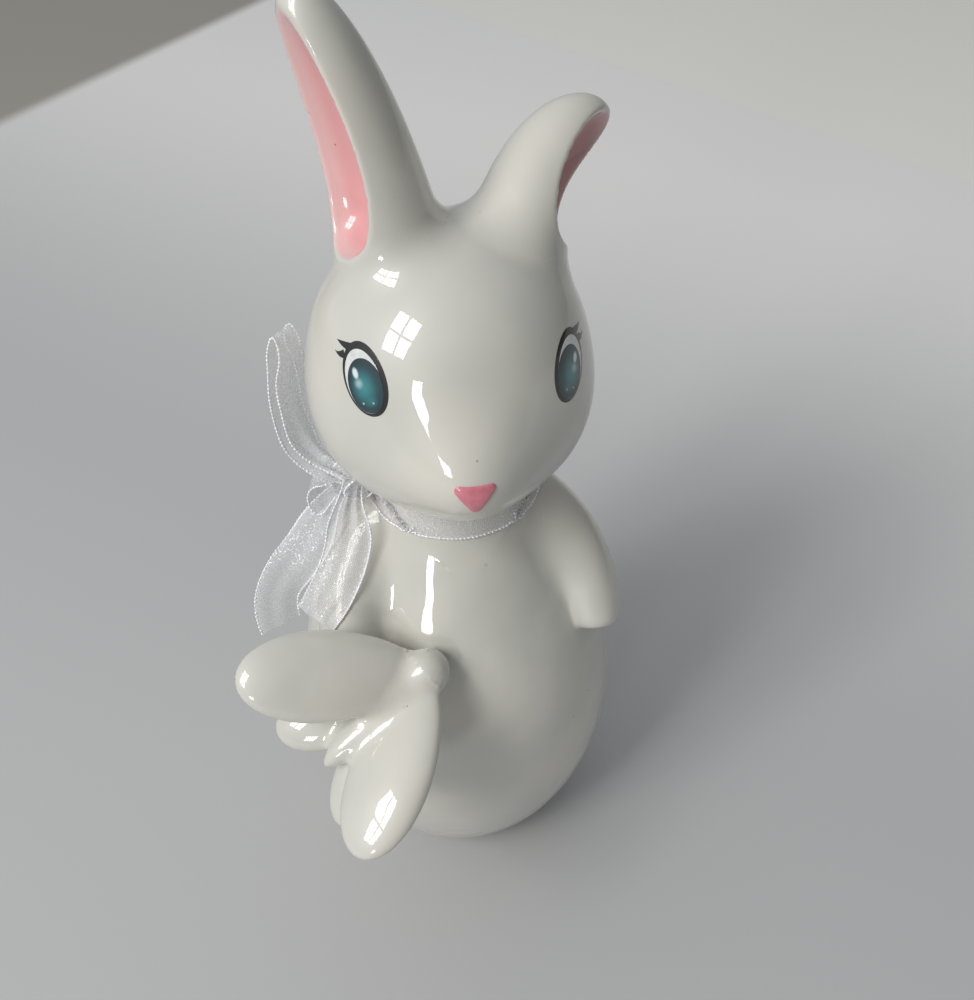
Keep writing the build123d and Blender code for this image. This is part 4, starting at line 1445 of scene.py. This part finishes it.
class RabbitGlaze(bpy.types.PropertyGroup):
    """The glazed castings."""

    grain: length("Grain", 0.0008, "Spacing of the grid that the glazed surface is taken from")
    neck_fillet: length("Neck Fillet", 0.014, "How softly the shoulders run up into the neck")
    collar_fillet: length("Collar Fillet", 0.002, "How softly the neck runs into the head")
    ear_fillet: length("Ear Fillet", 0.007, "How softly the ears grow out of the head")
    arm_fillet: length("Shoulder Fillet", 0.009, "How softly the arms leave the shoulders")
    paw_fillet: length("Paw Fillet", 0.0016, "How softly the paws and the tail meet the body")
    wing_fillet: length("Wing Fillet", 0.0030, "How softly the wings join the trunk")
    seat_fillet: length("Seat Fillet", 0.0014, "How softly the butterfly meets belly and paw")
    rim_rounding: length("Ear Rim", 0.0018, "Rounding of the rim round the hollow of each ear")
    coat_roughness: share("Glaze Roughness", 0.015, "How blurred the reflections in the glaze are")
    glaze_color: tint("Glaze", (0.68, 0.665, 0.60), "White clay seen through the clear glaze")
    pooled_color: tint("Pooled Glaze", (0.60, 0.605, 0.56), "Where the glaze has run thicker")
    clay_color: tint("Bare Clay", (0.70, 0.64, 0.55), "The unglazed foot")
    pink_color: tint("Ear Pink", (0.74, 0.35, 0.36), "Enamel in the hollow of the ears")
    pale_pink_color: tint("Pale Ear Pink", (0.80, 0.53, 0.52), "The same enamel where it is thin")
    nose_color: tint("Nose Pink", (0.72, 0.22, 0.28), "Enamel on the nose")
    speck_color: tint("Specks", (0.20, 0.16, 0.13), "Tiny iron specks in the glaze")


class RabbitEyes(bpy.types.PropertyGroup):
    """The painted eyes."""

    film: length("Film", 0.00004, "How far each layer of colour stands out of the one below")
    line_color: tint("Line", (0.006, 0.006, 0.007), "The dark line and the lashes")
    white_color: tint("White", (0.74, 0.76, 0.77), "The white of the eye")
    iris_dark: tint("Iris Edge", (0.006, 0.022, 0.030), "The darkest teal, round the iris")
    iris_color: tint("Iris", (0.012, 0.085, 0.105), "The teal of the iris")
    glow_color: tint("Glow", (0.05, 0.30, 0.33), "The paler glow in the iris")
    light_color: tint("Lights", (0.72, 0.84, 0.86), "The small painted lights")


class RabbitRibbon(bpy.types.PropertyGroup):
    """The organza ribbon."""

    thickness: length("Thickness", 0.00012, "Thickness of the cloth")
    thread_pitch: length("Thread Pitch", 0.0005, "From one bundle of threads to the next")
    picot_pitch: length("Picot Pitch", 0.0011, "From one picot of the edge to the next")
    picot_radius: length("Picot Radius", 0.0004, "Size of each picot")
    wire_radius: length("Wire Radius", 0.00018, "Half the thickness of the selvedge thread")
    sheer_alpha: share("Open Weave", 0.05, "How much the weave covers between its threads")
    thread_alpha: share("Threads", 0.25, "How much it covers along a thread")
    organza_color: tint("Organza", (0.93, 0.94, 0.97), "The cloth")
    glint_color: tint("Glint", (0.95, 0.95, 0.97), "The metallic threads where they glint")


class RabbitStage(bpy.types.PropertyGroup):
    """Floor, light and camera."""

    floor_size: length("Floor", 6.0, "Width of the floor")
    floor_color: tint("Floor Color", (0.50, 0.505, 0.51), "The pale board under the rabbit")
    far_color: tint("Far Floor Color", (0.92, 0.92, 0.90), "The same board, lighter at the back")
    left_wall_color: tint("Left Wall", (0.36, 0.345, 0.305), "What lies past the left back edge")
    right_wall_color: tint("Right Wall", (0.94, 0.93, 0.87), "What lies past the right back edge")
    window_place: place("Window", (-0.86, -0.58, 0.99), "Middle of the window")
    window_target: place("Window Target", (0.0, 0.0, 0.12), "What the window faces")
    pane_size: pair("Pane", (0.22, 0.33), "Width and height of a pane")
    glazing_bar: length("Glazing Bar", 0.04, "Width of the bars between the panes")
    window_power: power("Window Power", 11.0, "Light from the whole window")
    curtain_place: place("Curtain Gap", (-0.67, -1.09, 0.35), "Middle of the gap in the curtain")
    curtain_size: pair("Gap Size", (0.16, 0.22), "Width and height of the gap")
    curtain_power: power("Gap Power", 1.7, "Light through the gap")
    window_color: tint("Daylight", (1.0, 0.98, 0.95), "Colour of the window light")
    sky_color: tint("Bright Side", (0.95, 0.97, 1.0), "Fill light from the bright side of the room")
    room_color: tint("Dark Side", (0.06, 0.057, 0.05), "Fill light from the dark side of the room")
    sky_side: place("Bright Side Heading", (-0.40, 0.42, 0.81), "Where the bright side is")
    sky_strength: share("Fill Strength", 0.55, "Strength of the light from all round")
    lens: bpy.props.FloatProperty(
        name="Lens", description="Focal length", default=37.8, min=1, unit="CAMERA"
    )
    camera_place: place("Camera", (-0.0242, -0.2127, 0.3343), "Where the camera is")
    camera_turn: bpy.props.FloatVectorProperty(
        name="Camera Turn", description="Tilt and heading of the camera", size=3,
        default=(math.radians(46.5), 0.0, math.radians(-9.0)), subtype="EULER", unit="ROTATION",
    )


def eye_settings():
    return bpy.context.scene.rabbit_eyes


def ribbon_settings():
    return bpy.context.scene.rabbit_ribbon


def stage_settings():
    return bpy.context.scene.rabbit_stage


class BuildSteps:
    """What the operators share: each runs its own build steps in order."""

    def execute(self, context):
        for step in self.steps:
            step()
        return {"FINISHED"}


class RABBIT_OT_castings(BuildSteps, bpy.types.Operator):
    """Build the glazed body, head, ears, arms, tail and butterfly"""

    bl_idname = "rabbit.castings"
    bl_label = "Glazed Castings"
    steps = [build_castings]


class RABBIT_OT_eyes(BuildSteps, bpy.types.Operator):
    """Paint both eyes with their lashes"""

    bl_idname = "rabbit.eyes"
    bl_label = "Eyes"
    steps = [build_eyes]


class RABBIT_OT_nose(BuildSteps, bpy.types.Operator):
    """Build the raised pink nose"""

    bl_idname = "rabbit.nose"
    bl_label = "Nose"
    steps = [build_nose]


class RABBIT_OT_neck_ribbon(BuildSteps, bpy.types.Operator):
    """Lay the ribbon round the neck"""

    bl_idname = "rabbit.neck_ribbon"
    bl_label = "Neck Ribbon"
    steps = [build_band]


class RABBIT_OT_bow(BuildSteps, bpy.types.Operator):
    """Tie the bow: its knot, two loops and two tails"""

    bl_idname = "rabbit.bow"
    bl_label = "Bow"
    steps = [build_knot, build_loops, build_tails]


class RABBIT_OT_stage(BuildSteps, bpy.types.Operator):
    """Set the floor, the window light and the camera"""

    bl_idname = "rabbit.stage"
    bl_label = "Stage"
    steps = [build_floor, build_window, build_sky, build_camera]


class RABBIT_PT_figurine(bpy.types.Panel):
    """Lists the steps that build the rabbit"""

    bl_idname = "RABBIT_PT_figurine"
    bl_label = "Glazed Rabbit"
    bl_space_type = "VIEW_3D"
    bl_region_type = "UI"
    bl_category = "Rabbit"

    def draw(self, context):
        for operator in OPERATORS:
            self.layout.operator(operator.bl_idname)
        for group in SETTINGS:
            box = self.layout.box()
            box.label(text=SETTINGS[group].__doc__)
            for name in SETTINGS[group].__annotations__:
                box.prop(getattr(context.scene, group), name)


OPERATORS = [
    RABBIT_OT_castings,
    RABBIT_OT_eyes,
    RABBIT_OT_nose,
    RABBIT_OT_neck_ribbon,
    RABBIT_OT_bow,
    RABBIT_OT_stage,
]
SETTINGS = {
    "rabbit_glaze": RabbitGlaze,
    "rabbit_eyes": RabbitEyes,
    "rabbit_ribbon": RabbitRibbon,
    "rabbit_stage": RabbitStage,
}


def register():
    for group, settings in SETTINGS.items():
        bpy.utils.register_class(settings)
        setattr(bpy.types.Scene, group, bpy.props.PointerProperty(type=settings))
    for kind in (*OPERATORS, RABBIT_PT_figurine):
        bpy.utils.register_class(kind)


def unregister():
    for kind in (RABBIT_PT_figurine, *reversed(OPERATORS)):
        bpy.utils.unregister_class(kind)
    for group, settings in SETTINGS.items():
        delattr(bpy.types.Scene, group)
        bpy.utils.unregister_class(settings)


def main():
    register()
    bpy.ops.rabbit.castings()
    bpy.ops.rabbit.eyes()
    bpy.ops.rabbit.nose()
    bpy.ops.rabbit.neck_ribbon()
    bpy.ops.rabbit.bow()
    bpy.ops.rabbit.stage()


if __name__ == "__main__":
    main()
